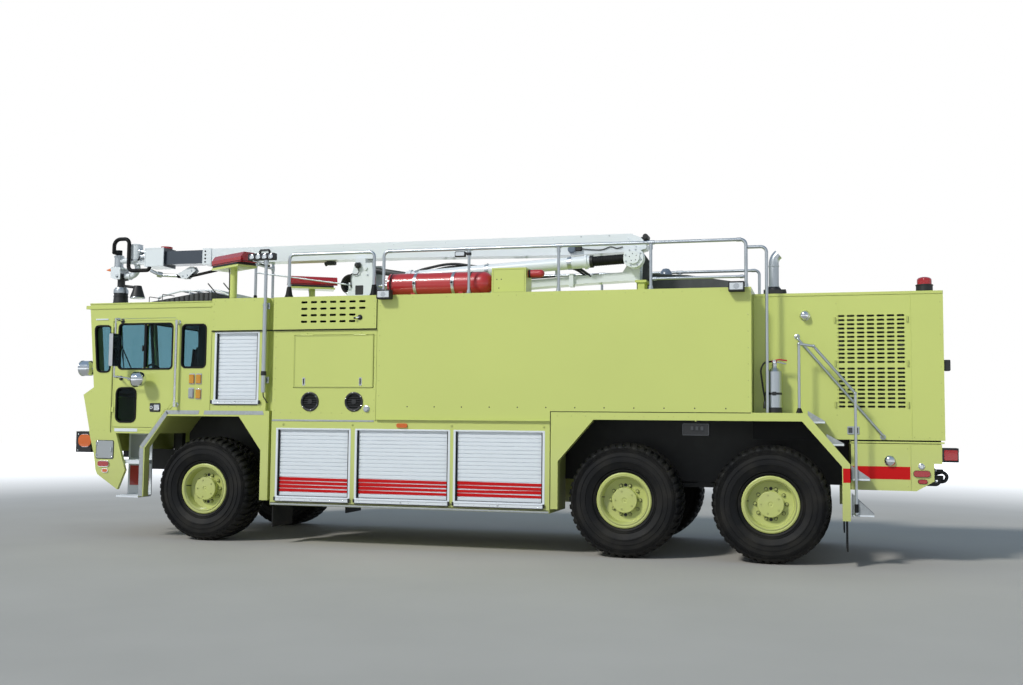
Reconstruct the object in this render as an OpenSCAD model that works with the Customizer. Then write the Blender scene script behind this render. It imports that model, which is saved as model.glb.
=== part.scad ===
// Airport fire truck: three axles, a two-door cab, a water tank body and a folding roof boom.
// The truck points along +X, its left side is +Y and the ground is z = 0. All sizes are millimetres.

/* [Wheels] */
// Outer radius of a tyre, out to the tips of its lugs
tyre_r = 712; // [680:4:730]
// Width of a tyre over its sidewalls
tyre_w = 600; // [540:5:620]
// Radius of the rim's outer flange
rim_r = 345; // [320:1:370]
// Distance between the middles of the left and right tyres
track = 2400; // [2340:10:2440]
// Place of the front axle ahead of the middle of the truck
front_axle_x = 3535; // [3500:5:3570]
// Distance from the front axle to the middle axle
wheelbase = 5875; // [5800:5:5950]
// Distance between the two rear axles
tandem = 1778; // [1700:2:1800]
// Distance of the kingpin from the truck's middle
kingpin_y = 1050; // [1030:5:1070]
// Radius of a kingpin
kingpin_r = 26; // [20:1:32]
// Radius of an axle tube
axle_r = 82; // [70:1:95]

/* [Frame] */
// Distance from the truck's middle to the outside of a frame rail
rail_y = 475; // [450:5:490]
// Height of a frame rail's web
rail_h = 300; // [260:5:320]
// Width of a frame rail's flanges
rail_w = 90; // [70:2:110]
// Thickness of the frame's steel
rail_t = 14; // [10:1:20]
// Height of the rails' underside above the ground
rail_z = 916; // [900:4:940]
// Radius of a towing eye's hole
eye_r = 32; // [25:1:40]

/* [Body] */
// Width over the fenders, the tank and the cab
body_w = 3050; // [2960:10:3100]
// Height of the tank's top
body_top = 3340; // [3280:5:3400]
// Height of the body's floor over the lockers
body_floor = 1665; // [1640:5:1690]
// Height of the locker bottoms
locker_z = 527; // [480:1:600]
// Distance from the truck's middle to a locker's inner wall
locker_in_y = 620; // [580:5:680]
// Length of the section with the vent slots
vent_len = 1507; // [1450:1:1550]
// Length of the compartment behind the cab
block_len = 945; // [900:5:960]
// Thickness of the header that stands proud over the compartments
header_t = 18; // [10:1:30]
// Width of a roller shutter's slat
slat_h = 49; // [46:1:60]
// Depth of a roller shutter behind the body's side
shutter_in = 26; // [20:1:40]

/* [Cab] */
// Place of the cab's front at the roof, ahead of the middle of the truck
cab_front_x = 5391; // [5360:1:5430]
// Length of the cab at the roof
cab_len = 1964; // [1930:2:1980]
// Height of the cab floor's underside
cab_floor = 1462; // [1440:2:1480]
// Height of the underside of the roof cap
cab_top = 3235; // [3220:5:3250]
// Thickness of the cab's walls and doors
cab_wall = 70; // [50:2:90]
// Thickness of the roof cap
roof_t = 80; // [60:2:90]
// Length of a door
door_len = 1003; // [980:1:1030]
// Clearance round a door
door_gap = 6; // [5:1:9]
// Thickness of the window glass
glass_t = 8; // [6:1:12]

/* [Arches] */
// Height of the arches' inner edge
arch_top = 1712; // [1690:2:1730]
// Half the length of the front arch at its top
front_arch_top = 560; // [520:5:600]
// Half the length of the front arch between its posts
front_arch_half = 898; // [880:2:920]
// Width of the front arch's band and its front post
strip_w = 82; // [70:1:90]
// Width of the rear fender's posts
post_w = 92; // [80:1:105]
// Depth of the arch bands, across the truck
band_y = 120; // [90:5:150]
// Height of the deck over the rear wheels
deck_z = 1812; // [1800:2:1830]

/* [Engine housing] */
// Distance from the truck's middle to the housing's side
housing_y = 1170; // [1130:5:1200]
// Length of the engine housing
housing_len = 2217; // [2150:1:2260]
// Height of the housing's top
housing_top = 3288; // [3240:4:3320]
// Height of the housing's underside
housing_floor = 1500; // [1480:5:1520]
// Thickness of the housing's walls
housing_t = 40; // [25:1:50]

/* [Roof] */
// Height of the hand rails above the ground
rail_top = 3935; // [3880:5:3990]
// Radius of a hand rail's tube
tube_r = 21; // [16:1:26]
// Radius of the red agent cylinder
agent_r = 155; // [130:1:170]
// Radius of the exhaust stack
stack_r = 62; // [50:1:75]
// How far the light mast slides up
mast_travel = 1100; // [900:10:1200]

/* [Boom] */
// Height of the upper boom's top
boom_top = 4283; // [4270:1:4330]
// Depth of the upper boom's tube at its front
boom_h = 233; // [220:1:245]
// Width of the upper boom's tube
boom_w = 270; // [240:2:300]
// Wall of the boom's tubes
boom_t = 8; // [6:1:12]
// Clearance of the sliding section in the upper boom
slide_gap = 5; // [5:0.5:8]
// How far the sliding section comes out
boom_travel = 3000; // [2500:50:3100]
// Height of the boom's rear hinge
knuckle_z = 3925; // [3905:1:3945]
// Place of the boom's rear hinge behind the middle of the truck
knuckle_back = 2262; // [2200:2:2300]
// Place of the lower boom's front hinge, ahead of the middle of the truck
root_x = 1700; // [1680:2:1740]
// Height of the lower boom's front hinge
root_z = 3490; // [3480:1:3510]
// Width of the lower boom
lower_w = 240; // [210:2:260]

/* [Hidden] */
$fn = 48;

// Clearance of a piece that rests against another, and of a shaft in its bearing
seat_gap = 0.3;
run_gap = 0.1;
// Clearance between pieces that move past each other
move_gap = 8;

lime = "#C6D57E";
silver = "#C9CDD1";
dark = "#2B2D2E";
rubber = "#1E1F20";
white = "#EEF0F0";
red = "#B3262B";
amber = "#E8701A";
glass = "#3C474A";
steel = "#55585A";

// Stations along the truck
mid_axle_x = front_axle_x - wheelbase;
rear_axle_x = mid_axle_x - tandem;
cab_rear_x = cab_front_x - cab_len;
body_front_x = cab_rear_x - 6;
block_rear_x = body_front_x - block_len;
vent_rear_x = block_rear_x - vent_len;
tank_front_x = vent_rear_x - 8;
tank_rear_x = rear_axle_x + 210;
housing_rear_x = tank_rear_x - housing_len;
half_w = body_w / 2;
wheel_y = track / 2;
wheel_z = tyre_r;
rail_end_z = rail_z + rail_h;
rail_rear_x = housing_rear_x + 175;
rail_front_x = cab_front_x - 190;

// Front arch: the line of its inner edge, from the front post round to the rear post
arch_knee_z = 1258;
arch_foot_z = 585;
arch_front_x = front_axle_x + front_arch_half;
arch_rear_x = front_axle_x - front_arch_half;
strip_z = arch_top + strip_w;
front_post_w = 118;

// Rear fender, round both rear axles
fender_mid_x = (mid_axle_x + rear_axle_x) / 2;
fender_half = tandem / 2 + 829;
fender_top_half = fender_half - 453;
fender_front_x = fender_mid_x + fender_half + post_w;
fender_rear_x = fender_mid_x - fender_half - post_w;

// Lower lockers fill the room between the front arch and the rear fender
locker_front_x = arch_rear_x - front_post_w - 42;
locker_rear_x = fender_front_x + 12;
locker_top = body_floor;

// Cab profile
windscreen_foot_z = 2110;
nose_z = 2004;
nose_x = cab_front_x + 67;
windscreen_foot_x = cab_front_x - 98;
chin_x = cab_front_x - 48;
chin_z = cab_floor + 46;
door_front_x = cab_front_x - 396;
door_rear_x = door_front_x - door_len;
door_top = 3089;
door_foot = 1545;
door_in_y = half_w - cab_wall;

// Boom
boom_front_x = 4444;
knuckle_x = -knuckle_back;
boom_foot = boom_top - boom_h;
inner_h = boom_h - 2 * boom_t - 2 * slide_gap;
inner_w = boom_w - 2 * boom_t - 2 * slide_gap;
inner_z = boom_foot + boom_t + slide_gap;
inner_front_x = boom_front_x + 662;
inner_len = boom_travel + 1400;
head_x = inner_front_x + 884;
swivel_z = 3900;
pipe_r = 85;

// Box between two corners, each axis given as [low, high]
module span(x, y, z) {
    translate([x[0], y[0], z[0]]) cube([x[1] - x[0], y[1] - y[0], z[1] - z[0]]);
}

// The children and their mirror image on the truck's right
module both_sides() {
    children();
    mirror([0, 1, 0]) children();
}

// A flat outline drawn in x and z, as a plate from y0 to y1
module plate(y0, y1) {
    translate([0, y1, 0]) rotate([90, 0, 0]) linear_extrude(y1 - y0) children();
}

// Rounded rectangle between two corners
module round_rect(x, z, r) {
    translate([x[0] + r, z[0]]) square([x[1] - x[0] - 2 * r, z[1] - z[0]]);
    translate([x[0], z[0] + r]) square([x[1] - x[0], z[1] - z[0] - 2 * r]);
    for (cx = [x[0] + r, x[1] - r], cz = [z[0] + r, z[1] - r]) translate([cx, cz]) circle(r);
}

// Straight rod from p to q
module rod(p, q, r) {
    v = q - p;
    l = norm(v);
    translate(p) rotate([0, acos(v[2] / l), atan2(v[1], v[0])]) cylinder(r = r, h = l);
}

// Cylinder along Y, from y0 to y1, at x and z
module across(x, z, r, y0, y1) {
    translate([x, y0, z]) rotate([-90, 0, 0]) cylinder(r = r, h = y1 - y0);
}

// Cylinder along X
module along(y, z, r, x0, x1) {
    translate([x0, y, z]) rotate([0, 90, 0]) cylinder(r = r, h = x1 - x0);
}

// Quarter bend in the x-z plane, centred at the bend's centre; turn gives which quarter
module quarter(x, y, z, bend, r, turn) {
    translate([x, y, z]) rotate([90, 0, 0]) rotate([0, 0, turn])
        rotate_extrude(angle = 90) translate([bend, 0]) circle(r);
}

// Hoop of tube: two posts, and a top rail with round corners socketed on them, in the x-z plane
module hoop(x0, x1, z0, z1, y, r, bend) {
    for (x = [x0, x1]) translate([x, y, z0]) cylinder(r = r, h = z1 - bend - seat_gap - z0);
    along(y, z1, r, x0 + bend, x1 - bend);
    quarter(x0 + bend, y, z1 - bend, bend, r, 90);
    quarter(x1 - bend, y, z1 - bend, bend, r, 0);
}

// Two channel rails with the cross members bolted between them, the hitch and the towing eyes
module chassis_frame() {
    color(dark) {
        both_sides() difference() {
            span([rail_rear_x, rail_front_x], [rail_y - rail_w, rail_y], [rail_z, rail_end_z]);
            span([rail_rear_x - 1, rail_front_x + 1], [rail_y - rail_w - 1, rail_y - rail_t],
                [rail_z + rail_t, rail_end_z - rail_t]);
        }
        for (x = [rail_front_x - 130, front_axle_x - 1000, front_axle_x - 2600, mid_axle_x + 1250,
                  fender_mid_x, rear_axle_x - 500, rear_axle_x - 1250, rail_rear_x + 87])
            span([x, x + 110], [-rail_y + rail_t + seat_gap, rail_y - rail_t - seat_gap],
                [rail_z + 60, rail_end_z - 60]);
        // Hitch for a drawbar, on the rearmost cross member
        difference() {
            span([rail_rear_x - 250, rail_rear_x + 190], [-60, 60], [985, 1120]);
            translate([rail_rear_x - 190, 0, 1030]) cylinder(r = 34, h = 200);
            span([rail_rear_x - 251, rail_rear_x - 120], [-61, 61], [1040, 1085]);
        }
        // Towing eyes on the ends of the rails
        for (e = [[rail_front_x, 1], [rail_rear_x, -1]]) both_sides() towing_eye(e[0], e[1]);
    }
}

// Bolsters on the rails that carry the cab, the body and the housing
module body_mounts() {
    color(dark) for (b = [[cab_front_x - 330, cab_floor], [front_axle_x + 960, cab_floor],
                          [block_rear_x + 60, strip_z], [vent_rear_x + 500, body_floor],
                          [vent_rear_x - 700, body_floor], [locker_rear_x + 100, body_floor],
                          [fender_mid_x + 200, deck_z], [tank_rear_x + 130, deck_z],
                          [tank_rear_x - 500, housing_floor], [housing_rear_x + 330, housing_floor]])
        both_sides() span([b[0], b[0] + 120], [rail_y - rail_w, rail_y], [rail_end_z, b[1]]);
    // Inner guards of the wheel arches, outside the rails: [rear, front, underside carried, front at the top]
    color(dark) both_sides() for (g = [[fender_rear_x, tank_rear_x - 2, housing_floor, tank_rear_x - 2],
                                       [tank_rear_x + 2, locker_rear_x - 5, deck_z, locker_rear_x - 5],
                                       [block_rear_x + 4, band_x(cab_floor) - 4, strip_z, band_x(strip_z) - 4]])
        plate(rail_y + seat_gap, rail_y + guard_t) polygon([[g[0], rail_end_z + seat_gap],
            [g[1], rail_end_z + seat_gap], [g[1], min(g[2], cab_floor) - seat_gap], [g[3], g[2] - seat_gap],
            [g[0], g[2] - seat_gap]]);
}
guard_t = 8;

// One towing eye: a plate with a cross bore, ahead of a rail's end
eye_out = 120;
eye_t = 40;
eye_plate_r = 70;
eye_z = rail_z + 80;
module towing_eye(x, way) {
    difference() {
        union() {
            span([min(x, x + way * eye_out), max(x, x + way * eye_out)],
                [rail_y - rail_w, rail_y - rail_w + eye_t], [eye_z - eye_plate_r, eye_z + eye_plate_r]);
            across(x + way * eye_out, eye_z, eye_plate_r, rail_y - rail_w, rail_y - rail_w + eye_t);
        }
        across(x + way * eye_out, eye_z, eye_r, rail_y - rail_w - 1, rail_y - rail_w + eye_t + 1);
    }
}

// Black box beam with a bright tread plate on top and brackets back to the rails
bumper_x = [chin_x + 8, 5596];
bumper_z = [1184, 1470];
bumper_y = 1470;
module front_bumper() {
    color(dark) difference() {
        union() {
            span(bumper_x, [-bumper_y, bumper_y], bumper_z);
            both_sides() span([rail_front_x, bumper_x[1] - 100], [rail_y - rail_w, rail_y],
                [rail_z + 170, bumper_z[0] - seat_gap]);
        }
        // Pockets of the head lamps
        both_sides() span([bumper_x[1] - lamp_deep, bumper_x[1] + 1], head_lamp_y, head_lamp_z);
    }
    color(silver) span([bumper_x[0], bumper_x[1]], [-bumper_y, bumper_y], [bumper_z[1], bumper_z[1] + 10]);
}
lamp_deep = 90;
head_lamp_y = [880, 1380];
head_lamp_z = [1240, 1420];

// Skirt ahead of the step wells: two cheeks and the front panel between them
skirt_t = 50;
skirt_foot_x = 4857;
skirt_foot_z = 673;
skirt_edge_x = 4742;
skirt_edge_z = 945;
function skirt_front() = [[chin_x, cab_floor], [cab_front_x - 131, 1175], [cab_front_x - 172, 936],
    [cab_front_x - 201, 880]];
function skirt_top_low(t) = [cab_front_x - 129 - t, bumper_z[0] + 8];
module front_skirt() {
    color(lime) {
        both_sides() plate(half_w - skirt_t, half_w)
            polygon(concat(skirt_front(), [[skirt_foot_x, skirt_foot_z], [skirt_edge_x, skirt_edge_z],
                [skirt_foot_x + 49, cab_floor]]));
        // Front panel behind the bumper, with its bracing flange
        plate(-half_w + skirt_t, half_w - skirt_t) polygon([skirt_front()[0], skirt_top_low(0),
            skirt_top_low(skirt_t), skirt_front()[0] - [skirt_t, 0]]);
    }
}

lean = (cab_front_x - windscreen_foot_x) / (cab_top - windscreen_foot_z);

// Outline of the cab from the side; inset moves it inwards for the hollow
function band_x(z) = front_axle_x + front_arch_top + 17 + (strip_z - z) * 0.787;
function cab_outline(inset) = [
    [cab_rear_x + inset, strip_z + seat_gap + inset],
    [band_x(strip_z) + 2 + inset / 3, strip_z + seat_gap + inset],
    [band_x(cab_floor) + 2 + inset / 3, cab_floor + inset],
    [chin_x - inset, cab_floor + inset],
    [chin_x - inset, chin_z],
    [nose_x - inset * 1.1, nose_z - inset * 0.2],
    [windscreen_foot_x - inset, windscreen_foot_z - inset * 0.2],
    [cab_front_x - inset, cab_top],
    [cab_rear_x + inset, cab_top]];

// Door outline: its lower rear corner is cut along the wheel arch
function door_outline(gap) = [
    [door_front_x - gap, door_foot + gap],
    [door_front_x - gap, door_top - gap],
    [door_rear_x + gap, door_top - gap],
    [door_rear_x + gap, strip_z + 72 + gap / 2],
    [door_rear_x + 46 + gap, strip_z + 10 + gap],
    [band_x(strip_z) + 5 + gap, strip_z + 10 + gap],
    [band_x(door_foot) + 10 + gap, door_foot + gap]];

// Convex outline with each corner turned on a radius
function spin(v, a) = [v[0] * cos(a) - v[1] * sin(a), v[0] * sin(a) + v[1] * cos(a)];
function soft_corners(p, r) = [for (i = [0:len(p) - 1])
    let (q = p[i], a = p[(i + len(p) - 1) % len(p)] - q, b = p[(i + 1) % len(p)] - q,
        u = a / norm(a), v = b / norm(b), half = acos(u * v) / 2, c = q + (u + v) / norm(u + v) * r / sin(half),
        way = cross(u, v) < 0 ? 1 : -1)
    for (k = [0:4]) c + spin(q + u * r / tan(half) - c, way * k * (45 - half / 2))];

// Side windows: the quarter window follows the windscreen's slope
quarter_top = 2992;
quarter_foot = 2325;
function quarter_outline(gap) = soft_corners([
    [door_front_x + 38 + gap, quarter_foot + gap], [door_front_x + 38 + gap, quarter_top - gap],
    [cab_front_x - 96 - gap, quarter_top - gap], [cab_front_x - 152 - gap, quarter_foot + gap]], window_r - gap);
rear_window_x = [3511, 3889];
rear_window_z = [2383, 2991];
door_window_x = [4035, 4908];
door_window_z = [2365, 3014];
door_divider_x = 4475;
low_window_x = [4597, 4920];
low_window_z = [1617, 2106];
window_r = 62;
screen_y = [34, 1360];
screen_z = [2190, 3150];

door_hinges = [1760, 2960];
hinge_x = door_front_x + 3;
hinge_y = half_w + 11;
module door_hinge(z, x0, x1) {
    translate([hinge_x, hinge_y, z]) cylinder(r = hinge_r, h = 70);
    span([x0, x1], [half_w, hinge_y], [z, z + 70]);
}
module cab_shell() {
    color(lime) both_sides() for (z = door_hinges) door_hinge(z - 70 - seat_gap, hinge_x, hinge_x + 30);
    color(lime) difference() {
        plate(-half_w, half_w) polygon(cab_outline(0));
        plate(-half_w + cab_wall, half_w - cab_wall) polygon(cab_outline(cab_wall));
        // Door openings and side windows
        for (y = [-half_w - 1, half_w - cab_wall - 1]) plate(y, y + cab_wall + 2) {
            polygon(door_outline(0));
            polygon(quarter_outline(0));
            round_rect(rear_window_x, rear_window_z, window_r);
        }
        // Windscreen openings, left and right of the middle post
        both_sides() span([windscreen_foot_x - 180, cab_front_x + 200], screen_y, screen_z);
    }
}

// Roof cap with its visor lip over the windscreen
module cab_roof() {
    color(lime) {
        span([cab_rear_x, cab_front_x + 4], [-half_w, half_w], [cab_top, cab_top + roof_t]);
        span([cab_front_x + 4, cab_front_x + 116], [-half_w + 60, half_w - 60], [cab_top + 2, cab_top + 52]);
    }
}

// Panes, each set in its opening with a hair of clearance
module cab_glass() {
    color(glass) {
        both_sides() intersection() {
            span([windscreen_foot_x - 180, cab_front_x + 200],
                [screen_y[0] + seat_gap, screen_y[1] - seat_gap], [screen_z[0] + seat_gap, screen_z[1] - seat_gap]);
            plate(0, half_w) polygon([for (p = [[0, screen_z[0]], [0, screen_z[1]]], s = [0])
                [windscreen_foot_x + lean * (p[1] - windscreen_foot_z) - 30, p[1]],
                for (p = [screen_z[1], screen_z[0]])
                [windscreen_foot_x + lean * (p - windscreen_foot_z) - 30 - glass_t, p]]);
        }
        both_sides() plate(half_w - 25 - glass_t, half_w - 25) {
            polygon(quarter_outline(seat_gap));
            round_rect([rear_window_x[0] + seat_gap, rear_window_x[1] - seat_gap],
                [rear_window_z[0] + seat_gap, rear_window_z[1] - seat_gap], window_r - seat_gap);
        }
    }
}

// Seats, dashboard and steering wheel, standing on the cab floor
cab_deck = cab_floor + cab_wall;
wheel_hub = [4830, 620, 2300];
module cab_interior() {
    color(dark) {
        // Three seats: place ahead, place across
        for (s = [[4080, 620], [4080, -620], [4080, 0]]) seat(s[0], s[1]);
        // Dashboard, from wall to wall, on its pedestal
        plate(-half_w + cab_wall + 10, half_w - cab_wall - 10) polygon([[4960, 2040], [5000, 2150],
            [windscreen_foot_x - cab_wall - 6, 2080], [windscreen_foot_x - cab_wall - 6, 1990]]);
        span([5010, 5180], [-300, 300], [cab_deck + seat_gap, 2060]);
        // Steering column and wheel
        rod([5010, wheel_hub[1], 2080], wheel_hub, 28);
        translate(wheel_hub) rotate([0, -54, 0]) {
            rotate_extrude() translate([215, 0]) circle(16);
            for (a = [90, 210, 330]) rotate([0, 90, a]) cylinder(r = 12, h = 206);
            cylinder(r = 45, h = 30, center = true);
        }
    }
}
seat_z = strip_z + cab_wall + 110;
module seat(x, y) {
    span([x - 140, x + 20], [y - 200, y + 200], [strip_z + cab_wall + seat_gap, seat_z]);
    span([x - 80, x + 430], [y - 250, y + 250], [seat_z, seat_z + 120]);
    plate(y - 250, y + 250) polygon([[x - 80, seat_z + 20], [x + 70, seat_z + 120],
        [x - 20, seat_z + 740], [x - 150, seat_z + 740]]);
    span([x - 165, x - 55], [y - 130, y + 130], [seat_z + 740, seat_z + 920]);
}

// Steps: the cab's two treads on each side, the stair behind the left rear wheel
step_in = 330;
tread_t = 26;
well_x = arch_front_x + strip_w + 2;
module steps() {
    color(silver) {
        both_sides() {
            // Back panel of the step well, up to the cab's floor, and its two treads
            span([well_x, skirt_foot_x + 40], [half_w - step_in, half_w - step_in + 20], [580, cab_floor]);
            for (t = [[12, half_w, 567, tread_t], [30, half_w - skirt_t - 2, 1034, tread_t * 1.9]])
                span([well_x, skirt_foot_x + t[0]], [half_w - step_in + 20 + seat_gap, t[1]], [t[2], t[2] + t[3]]);
        }
        // Stair: each tread's front edge, its height, its length and the height of its gussets
        for (s = [[-4560, 1690, 200, 150], [-4775, 1425, 200, 140], [-5058, 1022, 205, 170],
                  [-5058, 600, 250, 262]])
            stair_tread(s[0], s[1], s[2], s[3], s[1] > 1200 ? half_w - band_y - 2 : half_w - 60);
    }
}
module stair_tread(x, z, l, rise, y1) {
    span([x - l, x], [housing_y + seat_gap, y1], [z, z + tread_t]);
    lift = tread_t + seat_gap;
    for (y = [housing_y + seat_gap, y1 - 8]) plate(y, y + 8)
        polygon([[x, z + lift], [x - l, z + lift], [x, z + rise]]);
}

// Front fender: the arch band ahead of the wheel, the full panel behind it
module front_fenders() {
    color(lime) both_sides() plate(half_w - band_y, half_w) polygon([
        [arch_front_x, arch_foot_z], [arch_front_x + strip_w, arch_foot_z],
        [arch_front_x + strip_w, strip_z - (front_arch_half - front_arch_top - 17 + strip_w) / 0.787],
        [band_x(strip_z), strip_z],
        [arch_rear_x - front_post_w, strip_z], [arch_rear_x - front_post_w, arch_foot_z],
        [arch_rear_x, arch_foot_z], [arch_rear_x, arch_knee_z], [front_axle_x - front_arch_top, arch_top],
        [front_axle_x + front_arch_top, arch_top], [arch_front_x, arch_knee_z]]);
}

// Compartment behind the cab, with its roller shutter's recess and the proud header above it
ledge_z = 2890;
upper_shutter_x = [2690, 3370];
upper_shutter_z = [1880, 2872];
strip_x = 100;
module front_block() {
    color(lime) difference() {
        union() {
            span([block_rear_x + strip_x, body_front_x], [-half_w, half_w], [strip_z, body_top]);
            span([block_rear_x, block_rear_x + strip_x], [-half_w + 70, half_w - 70], [strip_z, body_top]);
            span([block_rear_x + strip_x, body_front_x], [-half_w - header_t, half_w + header_t], [ledge_z, body_top]);
        }
        both_sides() span(upper_shutter_x, [half_w - shutter_in - 34, half_w + 1], upper_shutter_z);
    }
}

// Section with the pump vents: rows of slots through a proud header, a flap and two round vents
slot_x = 2020;
slot_pitch_x = 141;
slot_w = 92;
slot_h = 30;
slot_deep = 60;
slot_rows = [[3262, 7], [3173, 7], [3085, 6], [2998, 6]];
flap_x = [1000, 2167];
flap_z = [2102, 2821];
module vent_section() {
    color(lime) difference() {
        union() {
            span([vent_rear_x, block_rear_x], [-half_w, half_w], [body_floor, body_top]);
            span([vent_rear_x, block_rear_x], [-half_w - header_t, half_w + header_t], [ledge_z, body_top]);
        }
        both_sides() span(flap_x, [half_w - flap_t - 4, half_w + 1], flap_z);
        both_sides() for (row = slot_rows, i = [0:row[1] - 1])
            plate(half_w + header_t - slot_deep, half_w + header_t + 1)
                round_rect([slot_x - i * slot_pitch_x - slot_w / 2, slot_x - i * slot_pitch_x + slot_w / 2],
                    [row[0] - slot_h / 2, row[0] + slot_h / 2], slot_h / 2 - 1);
        both_sides() for (x = [1917, 1277]) across(x, 1920, 118, half_w - 50, half_w + 1);
    }
    // Hinge barrels of the flap, each on its leaf
    color(lime) both_sides() for (x = flap_hinges) {
        along(half_w + flap_out, flap_z[1] - door_gap, hinge_r, x + 90 + seat_gap, x + 180);
        span([x + 90 + seat_gap, x + 180], [half_w - 1, half_w + flap_out], [flap_z[1] - door_gap + 5, flap_z[1] + 28]);
    }
}

// Flap over the pump's controls, hung along its top edge
flap_t = 24;
flap_out = 8;
flap_hinges = [1100, 1880];
hinge_r = 9;
module flap() {
    y = half_w + flap_out;
    z = flap_z[1] - door_gap;
    color(lime) difference() {
        union() {
            plate(half_w - flap_t, y) round_rect([flap_x[0] + door_gap, flap_x[1] - door_gap],
                [flap_z[0] + door_gap, z], 20);
            for (x = flap_hinges) along(y, z, hinge_r, x, x + 90);
        }
        for (x = flap_hinges) along(y, z, hinge_r + 3, x + 90, x + 184);
    }
}

// Tank, its walking top and the valve box on it
module tank_body() {
    color(lime) {
        plate(-half_w, half_w) polygon([[tank_front_x, body_floor], [tank_front_x, body_top],
            [tank_rear_x, body_top], [tank_rear_x, deck_z], [locker_rear_x - 4, deck_z],
            [locker_rear_x - 4, body_floor]]);
        span([-1026, -560], [1040, 1330], [body_top, body_top + 345]);
    }
}

// Lockers under the body: one long box each side with three shutter recesses
locker_posts = [75, 67, 53];
shutter_len = [1087, 1325];
shutter_z = [590, 1560];
function shutter_front(i) = i == 0 ? locker_front_x - locker_posts[0] :
    shutter_front(i - 1) - shutter_len[i - 1] - locker_posts[i];
function shutter_rear(i) = i < 2 ? shutter_front(i) - shutter_len[i] : locker_rear_x + 67;
module lower_lockers() {
    color(lime) both_sides() difference() {
        span([locker_rear_x, locker_front_x], [locker_in_y, half_w], [locker_z, locker_top]);
        for (i = [0:2]) span([shutter_rear(i), shutter_front(i)], [half_w - shutter_in - 34, half_w + 1],
            shutter_z);
    }
}

// Roller shutters: each is a curtain of slats in side tracks, over a bottom bar
bar_h = 62;
bar_out = 12;
module shutter(x, z) {
    depth = 30;
    y0 = half_w - shutter_in - 34 + seat_gap;
    n = floor((z[1] - z[0] - bar_h) / slat_h);
    h = (z[1] - z[0] - bar_h) / n;
    // Slats: each swells out between its joints
    translate([x[0] + 20, 0, 0]) rotate([90, 0, 90]) linear_extrude(x[1] - x[0] - 40)
        polygon(concat([[y0 + 4, z[0] + bar_h - 6], [y0 + 4, z[1] - 6]], [for (i = [n - 1:-1:0])
            for (p = [[0.96, 20], [0.82, depth], [0.14, depth], [0.02, 20]])
                [y0 + p[1], z[0] + bar_h + (i + p[0]) * h]]));
    span([x[0] + 2, x[1] - 2], [y0, half_w + bar_out], [z[0] + 2, z[0] + bar_h]);
    for (tx = [x[0] + 2, x[1] - 28]) span([tx, tx + 26], [y0, y0 + depth + 8], [z[0] + 40, z[1] - 2]);
}
module roller_shutters() {
    color(silver) both_sides() {
        for (i = [0:2]) shutter([shutter_rear(i), shutter_front(i)], shutter_z);
        shutter(upper_shutter_x, upper_shutter_z);
    }
}

// Fender round both rear wheels: a band with posts, and the deck above it
function rear_arch_line(out) = [
    [fender_mid_x + fender_half + out, arch_foot_z], [fender_mid_x + fender_half + out, 1185 + out * 0.5],
    [fender_mid_x + fender_top_half + out * 0.5, arch_top + (deck_z - arch_top) * out / post_w],
    [fender_mid_x - fender_top_half - out * 0.5, arch_top + (deck_z - arch_top) * out / post_w],
    [fender_mid_x - fender_half - out, 1185 + out * 0.3], [fender_mid_x - fender_half - out, arch_foot_z - 35]];
module rear_fenders() {
    color(lime) both_sides() {
        plate(half_w - band_y, half_w) polygon([
            [fender_front_x, arch_foot_z], [fender_front_x, deck_z],
            rear_arch_line(post_w)[3], rear_arch_line(post_w)[4], rear_arch_line(post_w)[5],
            rear_arch_line(0)[5], rear_arch_line(0)[4], rear_arch_line(0)[3], rear_arch_line(0)[2],
            rear_arch_line(0)[1], rear_arch_line(0)[0]]);
        span([tank_rear_x - 2, fender_front_x], [rail_y + 100, half_w - band_y], [deck_z - 30, deck_z]);
        // Deck of the walkway beside the engine housing
        span([rear_arch_line(post_w)[3][0], tank_rear_x - 2], [housing_y + seat_gap, half_w - band_y],
            [deck_z - 30, deck_z]);
    }
}

// Engine housing: a shell with the grille's slots through both sides
grille_x = -4954;
grille_pitch_x = 115;
grille_slot = 88;
grille_slot_h = 26;
grille_rows = [for (i = [0:11]) 2998 - i * 51, for (i = [0:9]) 2357 - i * 51];
module engine_housing() {
    color(lime) difference() {
        span([housing_rear_x, tank_rear_x - 4], [-housing_y, housing_y], [housing_floor, housing_top]);
        span([housing_rear_x + housing_t, tank_rear_x - 4 - housing_t],
            [-housing_y + housing_t, housing_y - housing_t], [housing_floor - 1, housing_top - housing_t]);
        for (y = [-housing_y - 1, housing_y - housing_t - 1]) plate(y, y + housing_t + 2)
            for (z = grille_rows, i = [0:6])
                round_rect([grille_x - i * grille_pitch_x - grille_slot / 2, grille_x - i * grille_pitch_x + grille_slot / 2],
                    [z - grille_slot_h / 2, z + grille_slot_h / 2], grille_slot_h / 2 - 1);
        // Rear grille
        for (i = [0:8]) span([housing_rear_x - 1, housing_rear_x + housing_t + 1], [-700, 700],
            [1800 + i * 110, 1850 + i * 110]);
    }
}

// Engine and gearbox: one plain mass on the rails
module engine_block() {
    color(steel) span([housing_rear_x + 425, tank_rear_x - 472], [-rail_y + rail_w + 4, rail_y - rail_w - 4], [rail_end_z - 60, 2250]);
}

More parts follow.
